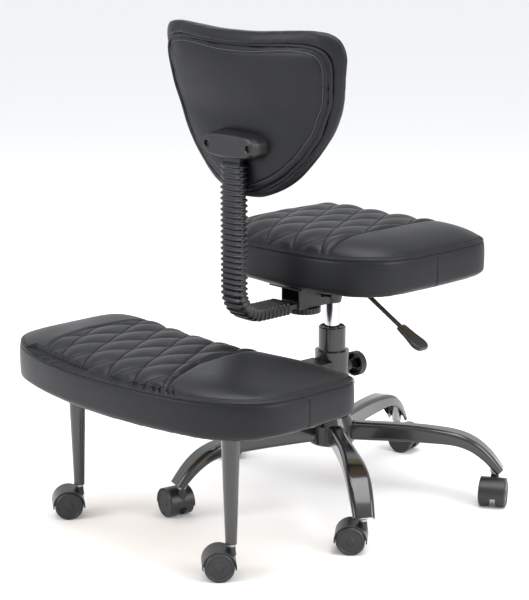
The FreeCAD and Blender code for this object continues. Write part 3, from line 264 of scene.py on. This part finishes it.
# %% Sewing thread
thread, tree, shader, place = start_material("polyester_thread_twisted")
twist = add_node(tree, "ShaderNodeTexNoise", {"Vector": place, "Scale": 1500.0})
bump = add_node(tree, "ShaderNodeBump", {"Height": twist.outputs[0], "Strength": 0.3,
                                         "Distance": 0.0002})
tree.links.new(bump.outputs[0], shader.inputs["Normal"])
shader.inputs["Base Color"].default_value = hex_colour("3C3D42")
shader.inputs["Roughness"].default_value = 0.5
print("thread:", thread.name)

# %% [markdown]
# ## Plywood
# The boards are birch-faced plywood, seen only from below. Its grain is long streaks
# about 5 mm wide, so a noise texture is stretched along one side.

# %% Plywood
PLY, tree, shader, place = start_material("birch_plywood_sanded")
turn = add_node(tree, "ShaderNodeMapping", {"Vector": place, "Scale": (1.0, 12.0, 12.0)})
streak = add_node(tree, "ShaderNodeTexNoise", {"Vector": turn.outputs[0], "Scale": 18.0,
                                               "Detail": 5.0})
tint = add_node(tree, "ShaderNodeValToRGB", {"Fac": streak.outputs[0]})
tint.color_ramp.elements[0].color = hex_colour("A98A60")
tint.color_ramp.elements[1].color = hex_colour("D6BC93")
tree.links.new(tint.outputs[0], shader.inputs["Base Color"])
shader.inputs["Roughness"].default_value = 0.62

FINISHES = {
    "base_enamel": ENAMEL, "column_enamel": SATIN, "frame_enamel": POWDER,
    "zinc_steel": ZINC, "bright_chrome": CHROME, "black_plastic": PLASTIC,
    "caster_plastic": CASTER, "bellows_rubber": RUBBER, "birch_ply": PLY,
    "black_leather": leather,
}
for part in frame["record"]["subparts"]:
    for socket in NODES[part["node"]].material_slots:
        socket.material = FINISHES[part["material_slot"]]
NODES["housing_screws"].material_slots[0].material = POWDER
print("finishes:", len(FINISHES))

# %% [markdown]
# ## How a cushion is made
# Moulded foam is wrapped in a sewn cover, so the cover swells between its seams. The
# construction solid is copied, its skin is divided into even squares, and a cloth
# simulation blows it up a little from inside while one side is held. How far a point may
# move is capped, and the skin is smoothed, because the cloth left folds at the rims.

# %% How a cushion is made
CLOTH_STEPS = 20
CLOTH_PRESSURE = 4.0
CLOTH_STIFFNESS = 30.0
SMOOTH_ROUNDS = 24


def move_points(piece, place_of):
    """Gives every point a new place, worked out from its old place and normal."""
    before = [(v.co.copy(), v.normal.copy()) for v in piece.data.vertices]
    after = []
    for place, normal in before:
        after.extend(place_of(place, normal))
    piece.data.vertices.foreach_set("co", after)
    piece.data.update()


def foam_copy(node, name, square, shrink):
    """Copy of a soft solid as one skin of even squares, a little smaller."""
    piece = bpy.data.objects.new(name, NODES[node].data.copy())
    bpy.context.scene.collection.objects.link(piece)
    select_only(piece)
    bpy.ops.object.mode_set(mode="EDIT")
    bpy.ops.mesh.select_all(action="SELECT")
    bpy.ops.mesh.remove_doubles(threshold=0.0001)
    bpy.ops.object.mode_set(mode="OBJECT")
    squares = piece.modifiers.new("squares", "REMESH")
    squares.mode = "VOXEL"
    squares.voxel_size = square
    bpy.ops.object.modifier_apply(modifier="squares")
    move_points(piece, lambda place, normal: place - normal * shrink)
    return piece


def relax(piece, chosen, rounds):
    """Smooths the chosen points, which also closes the solid's narrow channels."""
    group = piece.vertex_groups.new(name="loose")
    group.add([v.index for v in piece.data.vertices if chosen(v)], 1.0, "REPLACE")
    smooth = piece.modifiers.new("relax", "SMOOTH")
    smooth.iterations = rounds
    smooth.vertex_group = "loose"
    select_only(piece)
    bpy.ops.object.modifier_apply(modifier="relax")
    piece.vertex_groups.clear()


def blow_up(piece, held, most):
    """Cloth under pressure; no point moves further than the given distance."""
    start = [v.co.copy() for v in piece.data.vertices]
    furthest = 0.0
    group = piece.vertex_groups.new(name="held")
    group.add([v.index for v in piece.data.vertices if held(v)], 1.0, "REPLACE")
    cloth = piece.modifiers.new("pressure", "CLOTH")
    cloth.settings.use_pressure = True
    cloth.settings.uniform_pressure_force = CLOTH_PRESSURE
    cloth.settings.effector_weights.gravity = 0.0
    cloth.settings.vertex_group_mass = "held"
    cloth.settings.tension_stiffness = CLOTH_STIFFNESS
    cloth.settings.compression_stiffness = CLOTH_STIFFNESS
    for number in range(1, CLOTH_STEPS + 1):
        bpy.context.scene.frame_set(number)
    select_only(piece)
    bpy.ops.object.modifier_apply(modifier="pressure")
    bpy.context.scene.frame_set(1)
    piece.vertex_groups.clear()
    swollen = [v.co.copy() for v in piece.data.vertices]
    capped = []
    for place, rest in zip(swollen, start):
        step = place - rest
        if step.length > most:
            step *= most / step.length
        furthest = max(furthest, step.length)
        capped.extend(rest + step)
    piece.data.vertices.foreach_set("co", capped)
    piece.data.update()
    relax(piece, lambda v: not held(v), SMOOTH_ROUNDS)
    select_only(piece)
    finer = piece.modifiers.new("finer", "SUBSURF")
    finer.levels = 1
    finer.render_levels = 1
    bpy.ops.object.modifier_apply(modifier="finer")
    print(piece.name, "swelled", round(furthest / MM, 1), "mm,", len(piece.data.polygons), "faces")


def upholster(piece, body, fill, *nodes):
    """Finish, smooth shading and body of one padded piece; its construction solids are hidden."""
    piece.data.materials.clear()
    piece.data.materials.append(leather)
    for polygon in piece.data.polygons:
        polygon.use_smooth = True
    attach(piece, body)
    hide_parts(*nodes)


print("cloth steps:", CLOTH_STEPS)

# %% [markdown]
# ## Seat and knee pad
# Both have a flat-topped crown, a band of diamond quilting and two plain end panels. A
# double-stitched seam runs round the rim, and one upright seam closes the side band. All
# sizes are in mm. The rear side is bowed outwards, and the corner powers are those of a
# superellipse, first for the front and then for the rear.

# %% Seat and knee pad
RIM_LINES = (2.0, -5.0)  # heights of the two rim seams above the cushion's seam
SEAT = {
    "x": 0.0, "y": -52.0, "half_x": 213.0, "half_y": 171.0, "bow": 31.0, "corners": (5.6, 4.1),
    "bottom": 415.0, "seam": 485.0, "crown": 31.0, "pitch": 66.0, "step": 116.0,
    "crossing": 25.0, "right": ((-200.0, -107.0), (150.0, -107.0)),
    "left": ((-200.0, 157.0), (150.0, 157.0)), "upright": (-213.0, -40.0),
}
PAD = {
    "x": 20.0, "y": 351.0, "half_x": 317.0, "half_y": 143.0, "bow": 51.0, "corners": (6.0, 4.5),
    "bottom": 260.0, "seam": 328.0, "crown": 22.0, "pitch": 64.0, "step": 114.0,
    "crossing": 52.0,
    "right": ((230.0, -88.0), (361.0, -88.0), (415.0, -94.0), (471.0, -116.0), (540.0, -138.0)),
    "left": ((230.0, 201.0), (285.0, 200.0), (341.0, 208.0), (392.0, 212.0), (441.0, 201.0),
             (481.0, 193.0), (540.0, 166.0)),
    "upright": (-289.0, 362.0),
}
print("seat", 2 * SEAT["half_x"], "mm wide, pad", 2 * PAD["half_x"], "mm wide")

# %% [markdown]
# ## Sewn lines in the leather
# Where the cover is sewn, the leather folds into a line about 2 mm wide. That is finer
# than the mesh, so the shader draws it: a bump makes the groove, and painted shade darkens
# the colour to near black in it. Diamonds are two sets of slanted lines: the gap to the
# nearest whole number of each set's count is the distance to its lines. The band attribute
# gives the distance to the borders, and the height gives the rim seams.

# %% Sewn lines in the leather
LINE_INNER = 0.25  # mm from a line's middle where it is deepest
LINE_OUTER = 1.5   # mm from its middle where it ends
OUTSIDE = 50.0     # mm, added where there are no diamonds


def sewn_leather_with_painted_shade(name, cushion):
    """Pressed leather with this cushion's sewn lines: a bump groove, with painted shade in it."""
    material, tree, shader, place, grain, tint = pressed_leather(name)
    x, y, z = add_node(tree, "ShaderNodeSeparateXYZ", {"Vector": place}).outputs
    rear = cushion["y"] + cushion["half_y"] + cushion["bow"]
    across = add_node(tree, "ShaderNodeMath", {0: x, 1: 1000 / cushion["pitch"],
                      2: -cushion["crossing"] / cushion["pitch"]}, operation="MULTIPLY_ADD")
    back = add_node(tree, "ShaderNodeMath", {0: y, 1: 1000 / cushion["step"],
                    2: -rear / cushion["step"]}, operation="MULTIPLY_ADD")
    gaps = []
    for slant in ("ADD", "SUBTRACT"):
        count = add_node(tree, "ShaderNodeMath", {0: across.outputs[0], 1: back.outputs[0]},
                         operation=slant)
        gaps.append(add_node(tree, "ShaderNodeMath", {0: count.outputs[0], 1: 0.5},
                             operation="PINGPONG").outputs[0])
    nearest = add_node(tree, "ShaderNodeMath", {0: gaps[0], 1: gaps[1]}, operation="MINIMUM")
    run = 1 / math.hypot(1 / cushion["pitch"], 1 / cushion["step"])
    band = add_node(tree, "ShaderNodeAttribute", attribute_name="band").outputs["Fac"]
    inside = add_node(tree, "ShaderNodeMath", {0: band, 1: 0.0}, operation="LESS_THAN")
    diamond = add_node(tree, "ShaderNodeMath", {0: nearest.outputs[0], 1: run},
                       operation="MULTIPLY")
    apart = add_node(tree, "ShaderNodeMath", {0: inside.outputs[0], 1: OUTSIDE,
                     2: diamond.outputs[0]}, operation="MULTIPLY_ADD")
    edge = add_node(tree, "ShaderNodeMath", {0: band}, operation="ABSOLUTE")
    sewn = add_node(tree, "ShaderNodeMath", {0: apart.outputs[0], 1: edge.outputs[0]},
                    operation="MINIMUM")
    for line in RIM_LINES:
        height = add_node(tree, "ShaderNodeMath", {0: z, 1: 1000.0,
                          2: -cushion["seam"] - line}, operation="MULTIPLY_ADD")
        away = add_node(tree, "ShaderNodeMath", {0: height.outputs[0]}, operation="ABSOLUTE")
        sewn = add_node(tree, "ShaderNodeMath", {0: sewn.outputs[0], 1: away.outputs[0]},
                        operation="MINIMUM")
    depth = add_node(tree, "ShaderNodeMapRange", {"Value": sewn.outputs[0], "From Min": LINE_INNER,
                     "From Max": LINE_OUTER, "To Min": 0.0, "To Max": 1.0},
                     interpolation_type="SMOOTHSTEP")
    groove = add_node(tree, "ShaderNodeBump", {"Height": depth.outputs[0], "Strength": 0.9,
                      "Distance": 0.0012, "Normal": grain.outputs[0]})
    tree.links.new(groove.outputs[0], shader.inputs["Normal"])
    # Painted shade: the base colour goes to near black (060607) along each sewn line, as the shade
    # in its crease.
    shade = add_node(tree, "ShaderNodeMix", {"Factor": depth.outputs[0],
                     "A": hex_colour("060607"), "B": tint.outputs[0]}, data_type="RGBA")
    tree.links.new(shade.outputs["Result"], shader.inputs["Base Color"])
    return material


print("a sewn line is", 2 * LINE_OUTER, "mm wide")

# %% [markdown]
# ## Quilting
# A diamond is high in its middle and meets its neighbours in a narrow valley. Quilting is
# written as one depth for each place on the top, so the mesh and the shader agree.

# %% Quilting
BORDER_DEPTH = 5.0
BORDER_WIDTH = 5.5
PLAIN_DROP = 0.8
VALLEY_DEPTH = 5.6
PUFF_POWER = 0.34
PUFF_RISE = 1.6


def along(points, y):
    """Straight-line reading of a border at a distance y."""
    for (low, near), (high, far) in zip(points, points[1:]):
        if y <= high:
            return near + (far - near) * max(0.0, y - low) / (high - low)
    return points[-1][1]


def outline_share(cushion, x, y):
    """0 in the middle of the cushion and 1 on its outline."""
    u = (x - cushion["x"]) / cushion["half_x"]
    v = (y - cushion["y"] - cushion["bow"] * (1 - min(1.0, u * u))) / cushion["half_y"]
    power = cushion["corners"][0 if v < 0 else 1]
    return (abs(u) ** power + abs(v) ** power) ** (1 / power)


def quilt_depth(cushion, x, y):
    """How far the cover is pulled down at a place of the top, in mm."""
    rear = cushion["y"] + cushion["half_y"] + cushion["bow"]
    right = x - along(cushion["right"], y)
    left = along(cushion["left"], y) - x
    border = min(abs(right), abs(left))
    groove = BORDER_DEPTH * math.exp(-((border / BORDER_WIDTH) ** 2))
    if min(right, left) < 0:
        return groove + PLAIN_DROP
    across = (x - cushion["crossing"]) / cushion["pitch"]
    back = (y - rear) / cushion["step"]
    puff = abs(math.sin(math.pi * (across + back)) * math.sin(math.pi * (across - back)))
    return max(groove, VALLEY_DEPTH * (1 - puff ** PUFF_POWER)) - PUFF_RISE * puff


def soft_step(low, high, value):
    """0 below low, 1 above high, and a smooth rise between them."""
    share = max(0.0, min(1.0, (value - low) / (high - low)))
    return share * share * (3 - 2 * share)


print("a diamond's valley is", VALLEY_DEPTH, "mm deep")

# %% [markdown]
# ## Crown and side band
# The cloth alone left bumps at the rims. So a formula sets the height of every point above
# the seam and draws the side band to an even outline, and what shows of these two covers
# is that formula and not the simulation. The pad's outline is centred 20 mm beside the
# column and isn't turned, so it stands about 7 mm beside the construction solid, which is
# turned by 1.2 degrees.

# %% Crown and side band
CROWN_POWER = 6.0
RIM_SHARE = 0.985
QUILT_FADE = 0.95
BAND_FULL = 0.997
BAND_DRAW = 0.012
SEAM_PRESS = 1.0
SEAM_WIDTH = 1.7


def band_share(cushion, z):
    """Share of the outline that the side band keeps at a height."""
    rise = (z - cushion["bottom"]) / (cushion["seam"] - cushion["bottom"])
    return BAND_FULL - BAND_DRAW * abs(2 * min(1.0, rise) - 1) ** 3


def to_outline(cushion, x, y, share, wanted):
    """Moves a place in or out until it stands at the wanted share of the outline."""
    u = (x - cushion["x"]) / cushion["half_x"]
    v = (y - cushion["y"] - cushion["bow"] * (1 - min(1.0, u * u))) / cushion["half_y"]
    u *= wanted / share
    v *= wanted / share
    bow = cushion["bow"] * (1 - min(1.0, u * u))
    return cushion["x"] + u * cushion["half_x"], cushion["y"] + bow + v * cushion["half_y"]


def shape_cover(cushion, piece):
    """Evens the crown and the side band, and presses the sewn lines in."""
    seam = cushion["seam"]
    upright = cushion["upright"]

    def sewn(place, normal):
        x, y, z = place / MM
        share = outline_share(cushion, x, y)
        press = 0.0
        if z > seam:
            if share > RIM_SHARE:
                x, y = to_outline(cushion, x, y, share, RIM_SHARE)
                share = RIM_SHARE
            z = seam + cushion["crown"] * (1 - (share / RIM_SHARE) ** CROWN_POWER)
            z -= quilt_depth(cushion, x, y) * (1 - soft_step(QUILT_FADE, RIM_SHARE, share))
        elif share > 0.9:
            wanted = band_share(cushion, z)
            even = soft_step(cushion["bottom"] + 3, cushion["bottom"] + 14, z)
            x, y = to_outline(cushion, x, y, share, share + (wanted - share) * even)
        for line in RIM_LINES:
            press += SEAM_PRESS * math.exp(-(((z - seam - line) / SEAM_WIDTH) ** 2))
        if z < seam - 4 and math.hypot(x - upright[0], y - upright[1]) < 12:
            press += SEAM_PRESS * math.exp(-(((y - upright[1]) / SEAM_WIDTH) ** 2))
        return (Vector((x, y, z)) - normal * press) * MM

    move_points(piece, sewn)


print("the rim stands at", RIM_SHARE, "of the outline")

# %% [markdown]
# ## Marking the borders
# The shader can't follow the quilted band's listed borders, so their distance is
# stored on the points of the mesh. It is positive in the band and negative outside it.

# %% Marking the borders
NO_SEAM = -60.0     # mm, further than any line is drawn
UPRIGHT_HALF = 0.4  # mm, half the width of the upright seam


def mark_seams(cushion, piece):
    """Distance in mm to the nearest border of the quilted band or upright seam."""
    upright = cushion["upright"]
    edge = piece.data.attributes.new("band", "FLOAT", "POINT")
    for vertex, value in zip(piece.data.vertices, edge.data):
        x, y, z = vertex.co / MM
        right = x - along(cushion["right"], y)
        left = along(cushion["left"], y) - x
        value.value = NO_SEAM
        if z > cushion["seam"] + 4:
            value.value = min(right, left)
        elif z < cushion["seam"] - 8 and math.hypot(x - upright[0], y - upright[1]) < 20:
            value.value = -abs(y - upright[1]) + UPRIGHT_HALF


print("borders have", len(SEAT["right"]), "and", len(PAD["right"]), "points on the right")

# %% [markdown]
# ## The two covers
# Both are made in the same steps: a copy of the foam, a smoothed top, a little pressure,
# the formula for crown and band, and the finish.

# %% The two covers
COVER_SQUARE = 0.005
COVER_SHRINK = 0.003
COVER_SWELL = 0.0022
COVER_FILL = 0.8


def make_cushion(cushion, node, name, body):
    """Cover of one cushion, shaped, finished and put on its body."""
    piece = foam_copy(node, name, COVER_SQUARE, COVER_SHRINK)
    seam = cushion["seam"] * MM
    bottom = cushion["bottom"] * MM
    relax(piece, lambda v: v.co.z > seam + 0.004, 30)
    blow_up(piece, lambda v: v.co.z < bottom + 0.018, COVER_SWELL)
    shape_cover(cushion, piece)
    upholster(piece, body, COVER_FILL, node)
    mark_seams(cushion, piece)
    piece.data.materials[0] = sewn_leather_with_painted_shade(name + "_leather", cushion)
    return piece


seat_cover = make_cushion(SEAT, "seat_cushion", "seat_cover", "seat")
pad_cover = make_cushion(PAD, "pad_cushion", "pad_cover", "pad")

# %% [markdown]
# ## Backrest
# The backrest is a curved plywood shell between two padded layers: a thick cushion in
# front and a thin sewn panel behind. Each layer is blown up by itself, with the faces
# that meet the other layer held, so the seam between them stays a crease.

# %% Backrest
EAR_RISE = 8.0
BACK_SWELL = 0.004
REAR_SWELL = 0.002


def with_ears(place, normal):
    """Lifts the two top corners of the backrest, so its top edge dips in the middle."""
    rise = EAR_RISE * soft_step(20, 190, abs(place.x) / MM) * soft_step(740, 870, place.z / MM)
    return Vector((place.x, place.y, place.z + rise * MM))


back_cover = foam_copy("back_cushion", "back_cover", 0.0045, 0.0005)
blow_up(back_cover, lambda v: v.normal.y > 0.55, BACK_SWELL)
relax(back_cover, lambda v: v.normal.y < 0.5, 30)
move_points(back_cover, with_ears)
upholster(back_cover, "back", 0.7, "back_cushion")

rear_cover = foam_copy("back_panel", "rear_cover", 0.004, -0.001)
blow_up(rear_cover, lambda v: v.normal.y < 0.2, REAR_SWELL)
move_points(rear_cover, with_ears)
upholster(rear_cover, "back", 0.6, "back_panel")

# %% [markdown]
# ## Piping round the rear panel
# The panel's edge is closed with piping: a cord wrapped in a strip of the same leather.
# It follows the panel's outline, which is read from the panel itself, so that it sits in
# the crease. A ring of points becomes a curve with a round section, and then a mesh.

# %% Piping round the rear panel
PIPING_RADIUS = 3.4
PIPING_POINTS = 96
PANEL_MIDDLE_Z = 0.72
SPREAD_X = 1.01
SPREAD_Z = 0.012
PIPING_BACK = 0.001


def panel_edge(cover, count):
    """Outermost points of the rear panel, seen from behind, all the way round."""
    low = min(v.co.z for v in cover.data.vertices)
    high = max(v.co.z for v in cover.data.vertices)
    middle = Vector((0, 0, (low + high) / 2))
    best = {}
    for vertex in cover.data.vertices:
        across = vertex.co.x / 0.20
        up = (vertex.co.z - middle.z) / ((high - low) / 2)
        part = int((math.atan2(up, across) / (2 * math.pi) + 1) * count) % count
        reach = math.hypot(across, up)
        if part not in best or reach > best[part][0]:
            best[part] = (reach, vertex.co.copy())
    return [best[part][1] for part in sorted(best)]


edge_points = panel_edge(rear_cover, PIPING_POINTS)
for _round in range(3):
    edge_points = [(a + b * 2 + c) / 4 for a, b, c in
                   zip(edge_points[-1:] + edge_points[:-1], edge_points,
                       edge_points[1:] + edge_points[:1])]
line = bpy.data.curves.new("piping", "CURVE")
line.dimensions = "3D"
line.bevel_depth = PIPING_RADIUS * MM
line.bevel_resolution = 4
line.resolution_u = 4
spline = line.splines.new("NURBS")
spline.points.add(len(edge_points) - 1)
for point, place in zip(spline.points, edge_points):
    higher = (place.z - PANEL_MIDDLE_Z) * SPREAD_Z
    point.co = (place.x * SPREAD_X, place.y + PIPING_BACK, place.z + higher, 1)
spline.use_cyclic_u = True
spline.order_u = 3
piping = bpy.data.objects.new("back_piping", line)
bpy.context.scene.collection.objects.link(piping)
select_only(piping)
bpy.ops.object.convert(target="MESH")
piping = bpy.context.object
for polygon in piping.data.polygons:
    polygon.use_smooth = True
piping.data.materials.append(leather)
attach(piping, "back")
print("piping:", len(edge_points), "points round the panel")

# %% [markdown]
# ## Border seam of the rear panel
# Eleven millimetres inside the piping a second seam holds the panel's border flat. It is
# a thin cord of sewing thread lying in a shallow valley of the leather. The outline is
# drawn in towards the panel's middle, and a ray puts each point on the panel's rear.

# %% Border seam of the rear panel
BORDER_INSET = 11
BORDER_SINK = 1.6
BORDER_SPREAD = 3.2
BORDER_RADIUS = 0.0007
panel_tree = BVHTree.FromObject(rear_cover, bpy.context.evaluated_depsgraph_get())
panel_low = min(p.z for p in edge_points)
panel_high = max(p.z for p in edge_points)
panel_middle = Vector((0, 0, panel_low * 0.45 + panel_high * 0.55))
border = []
for place in edge_points:
    inward = Vector((panel_middle.x - place.x, 0, panel_middle.z - place.z)).normalized()
    start = Vector((place.x, 0.4, place.z)) + inward * BORDER_INSET * MM
    hit, _normal, _face, _far = panel_tree.ray_cast(start, Vector((0, -1, 0)))
    if hit is not None:
        border.append(hit)


def sink_border(place, normal):
    """Presses a valley into the panel along its border seam."""
    if normal.y < 0.2:
        return place
    near = (place - border_tree.find(place)[0]).length / MM
    return place - normal * BORDER_SINK * math.exp(-((near / BORDER_SPREAD) ** 2)) * MM


border_tree = KDTree(len(border) * 5)
border = [a.lerp(b, part / 5) for a, b in zip(border, border[1:] + border[:1])
          for part in range(5)]
for index, place in enumerate(border):
    border_tree.insert(place, index)
border_tree.balance()
move_points(rear_cover, sink_border)
line = bpy.data.curves.new("border", "CURVE")
line.dimensions = "3D"
line.bevel_depth = BORDER_RADIUS
line.bevel_resolution = 2
spline = line.splines.new("NURBS")
spline.points.add(len(border) - 1)
for point, place in zip(spline.points, border):
    point.co = (place.x, place.y - 0.0009, place.z, 1)
spline.use_cyclic_u = True
spline.order_u = 3
seam_line = bpy.data.objects.new("back_border_seam", line)
bpy.context.scene.collection.objects.link(seam_line)
select_only(seam_line)
bpy.ops.object.convert(target="MESH")
seam_line = bpy.context.object
seam_line.data.materials.append(thread)
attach(seam_line, "back")
print("border seam:", len(border), "points")

# %% [markdown]
# ## Bracket housing
# The moulded housing that holds the bar's top end has no sharp edge: its lower edge
# curves up at both ends, and its rim catches one long highlight. The solid's skin is
# divided into 1.6 mm squares and smoothed, which rounds every edge at once.

# %% Bracket housing
LOWER_RISE = 0.009
UPPER_DROP = 0.005
housing = foam_copy("back_housing", "housing_shell", 0.0016, 0.0)
low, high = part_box("back_housing")
half_wide = (high.x - low.x) / 2
half_tall = (high.z - low.z) / 2
middle = (high.z + low.z) / 2


def smile(place, normal):
    """Draws the lower corners up and the upper corners down a little."""
    across = min(1.0, abs(place.x) / half_wide)
    up = (place.z - middle) / half_tall
    rise = LOWER_RISE * across ** 2 if up < 0 else -UPPER_DROP * across ** 2
    return Vector((place.x, place.y, place.z + rise * min(1.0, abs(up))))


move_points(housing, smile)
relax(housing, lambda v: v.co.y > low.y + 0.004, 14)
for polygon in housing.data.polygons:
    polygon.use_smooth = True
housing.data.materials.clear()
housing.data.materials.append(PLASTIC)
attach(housing, "back")
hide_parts("back_housing")
print("housing:", len(housing.data.polygons), "faces")

# %% [markdown]
# ## Rubber bellows
# A ribbed rubber sleeve hides the flat steel bar. One rib is a ring of points pushed out
# and in again, and it repeats 38 times along the bar. The rings are extruded upwards on a
# straight line, then the finished sleeve is laid along the bar's bend.

# %% Rubber bellows
RIB_PITCH = 9.6
RIBS = (23, 8, 7)
BAR_LEVEL = 378.0
BEND_RADIUS = 48.0
HALF_WIDE = 26.5
HALF_DEEP = 13.0
SLEEVE_WALL = 0.0016
low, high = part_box("bellows")
BAR_BACK = (high.y / MM) - HALF_DEEP
print("bellows runs", round(BAR_BACK, 1), "mm behind the column")


def bar_place(distance):
    """Centre and outward direction of the sleeve at a distance from its top."""
    upright = RIBS[0] * RIB_PITCH
    bend = BEND_RADIUS * math.pi / 2
    if distance <= upright:
        height = BAR_LEVEL + BEND_RADIUS + upright - distance
        return Vector((0, BAR_BACK, height)), Vector((0, 1, 0))
    if distance >= upright + bend:
        run = BAR_BACK - BEND_RADIUS - (distance - upright - bend)
        return Vector((0, run, BAR_LEVEL)), Vector((0, 0, -1))
    angle = (distance - upright) / BEND_RADIUS
    outward = Vector((0, math.cos(angle), -math.sin(angle)))
    centre = Vector((0, BAR_BACK - BEND_RADIUS, BAR_LEVEL + BEND_RADIUS))
    return centre + outward * BEND_RADIUS, outward


RIB_SECTION = ((0.06, -3.2), (0.2, -2.8), (0.34, -0.6), (0.5, 0.0), (0.66, -0.6), (0.8, -2.8))
bpy.ops.object.select_all(action="DESELECT")
bpy.ops.mesh.primitive_circle_add(vertices=28, radius=1.0, location=(0, 0, 0))
sleeve = bpy.context.object
sleeve.name = "bellows_sleeve"
bpy.ops.object.mode_set(mode="EDIT")
bpy.ops.mesh.select_all(action="SELECT")
rings = sum(RIBS) * len(RIB_SECTION)
for number in range(rings):
    bpy.ops.mesh.extrude_region_move(TRANSFORM_OT_translate={"value": (0, 0, 1.0)})
bpy.ops.object.mode_set(mode="OBJECT")

pitches = [RIB_PITCH] * RIBS[0] + [BEND_RADIUS * math.pi / 2 / RIBS[1]] * RIBS[1]
pitches += [RIB_PITCH] * RIBS[2]
stations = []
start = 0.0
for pitch in pitches:
    stations += [(start + share * pitch, depth) for share, depth in RIB_SECTION]
    start += pitch
stations.append((start - 0.5, -3.2))
for vertex in sleeve.data.vertices:
    distance, depth = stations[round(vertex.co.z)]
    centre, outward = bar_place(distance)
    angle = math.atan2(vertex.co.y, vertex.co.x)
    cosine, sine = math.cos(angle), math.sin(angle)
    wide = math.copysign(abs(cosine) ** 0.5, cosine) * (HALF_WIDE + depth)
    deep = math.copysign(abs(sine) ** 0.5, sine) * (HALF_DEEP + depth)
    vertex.co = (centre + Vector((1, 0, 0)) * wide + outward * deep) * MM
select_only(sleeve)
bpy.ops.object.mode_set(mode="EDIT")
bpy.ops.mesh.select_all(action="SELECT")
bpy.ops.mesh.normals_make_consistent(inside=False)
bpy.ops.object.mode_set(mode="OBJECT")
wall = sleeve.modifiers.new("wall", "SOLIDIFY")
wall.thickness = SLEEVE_WALL
bpy.ops.object.modifier_apply(modifier="wall")
bpy.ops.object.shade_smooth_by_angle(angle=math.radians(50))
sleeve.data.materials.append(RUBBER)
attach(sleeve, "back")
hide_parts("bellows")
print("bellows:", sum(RIBS), "ribs,", len(sleeve.data.polygons), "faces")

# %% [markdown]
# ## Stitches
# The rim seam is a lapped seam sewn twice, with black thread a shade lighter than the
# leather. One stitch is a stretched ball with few faces, because there are hundreds. Each
# copy is laid where a ray from outside, aimed at the cushion's middle, meets the cover.

# %% Stitches
STITCH_RADIUS = 0.00045
STITCH_LENGTH = 2.6
STITCH_PITCH = 4.0
RIM_STEPS = 1440
bpy.ops.object.select_all(action="DESELECT")
bpy.ops.mesh.primitive_uv_sphere_add(segments=6, ring_count=4, radius=STITCH_RADIUS)
one_stitch = bpy.context.object
bpy.ops.transform.resize(value=(1, 1, STITCH_LENGTH), center_override=(0, 0, 0))
bpy.ops.object.transform_apply(location=False, rotation=True, scale=True)
STITCH = [v.co.copy() for v in one_stitch.data.vertices]
STITCH_FACES = [tuple(p.vertices) for p in one_stitch.data.polygons]
bpy.data.objects.remove(one_stitch)


def rim_path(cushion, cover, offset):
    """Points round the rim at one height, with the cover's normal at each."""
    tree = BVHTree.FromObject(cover, bpy.context.evaluated_depsgraph_get())
    height = (cushion["seam"] + offset) * MM
    found = []
    level = cushion["seam"] + offset
    centre = Vector((cushion["x"], cushion["y"] + cushion["bow"] * 0.5, level))
    for step in range(RIM_STEPS):
        angle = 2 * math.pi * step / RIM_STEPS
        x = cushion["half_x"] * 1.2 * math.cos(angle)
        y = cushion["half_y"] * 1.4 * math.sin(angle)
        outside = centre + Vector((x, y, 0)) * 1.25
        direction = (centre - outside).normalized()
        place, normal, _face, _far = tree.ray_cast(outside * MM, direction)
        if place is not None and abs(place.z - height) < 0.001:
            found.append((place, normal))
    return found


def sew(name, cushion, cover, body, offsets):
    """One object with every stitch of the rim seams."""
    points = []
    faces = []
    for offset in offsets:
        path = rim_path(cushion, cover, offset)
        since = STITCH_PITCH * MM
        for (place, normal), (next_place, _next) in zip(path, path[1:] + path[:1]):
            step = next_place - place
            since += step.length
            if since < STITCH_PITCH * MM:
                continue
            since = 0.0
            turn = step.normalized().to_track_quat("Z", "Y").to_matrix()
            first = len(points)
            points += [place + normal * 0.0003 + turn @ corner for corner in STITCH]
            faces += [tuple(first + i for i in face) for face in STITCH_FACES]
    mesh = bpy.data.meshes.new(name)
    mesh.from_pydata(points, [], faces)
    piece = bpy.data.objects.new(name, mesh)
    bpy.context.scene.collection.objects.link(piece)
    mesh.materials.append(thread)
    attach(piece, body)
    print(name, len(points) // len(STITCH), "stitches")


sew("seat_stitching", SEAT, seat_cover, "seat", RIM_LINES)
sew("pad_stitching", PAD, pad_cover, "pad", RIM_LINES)
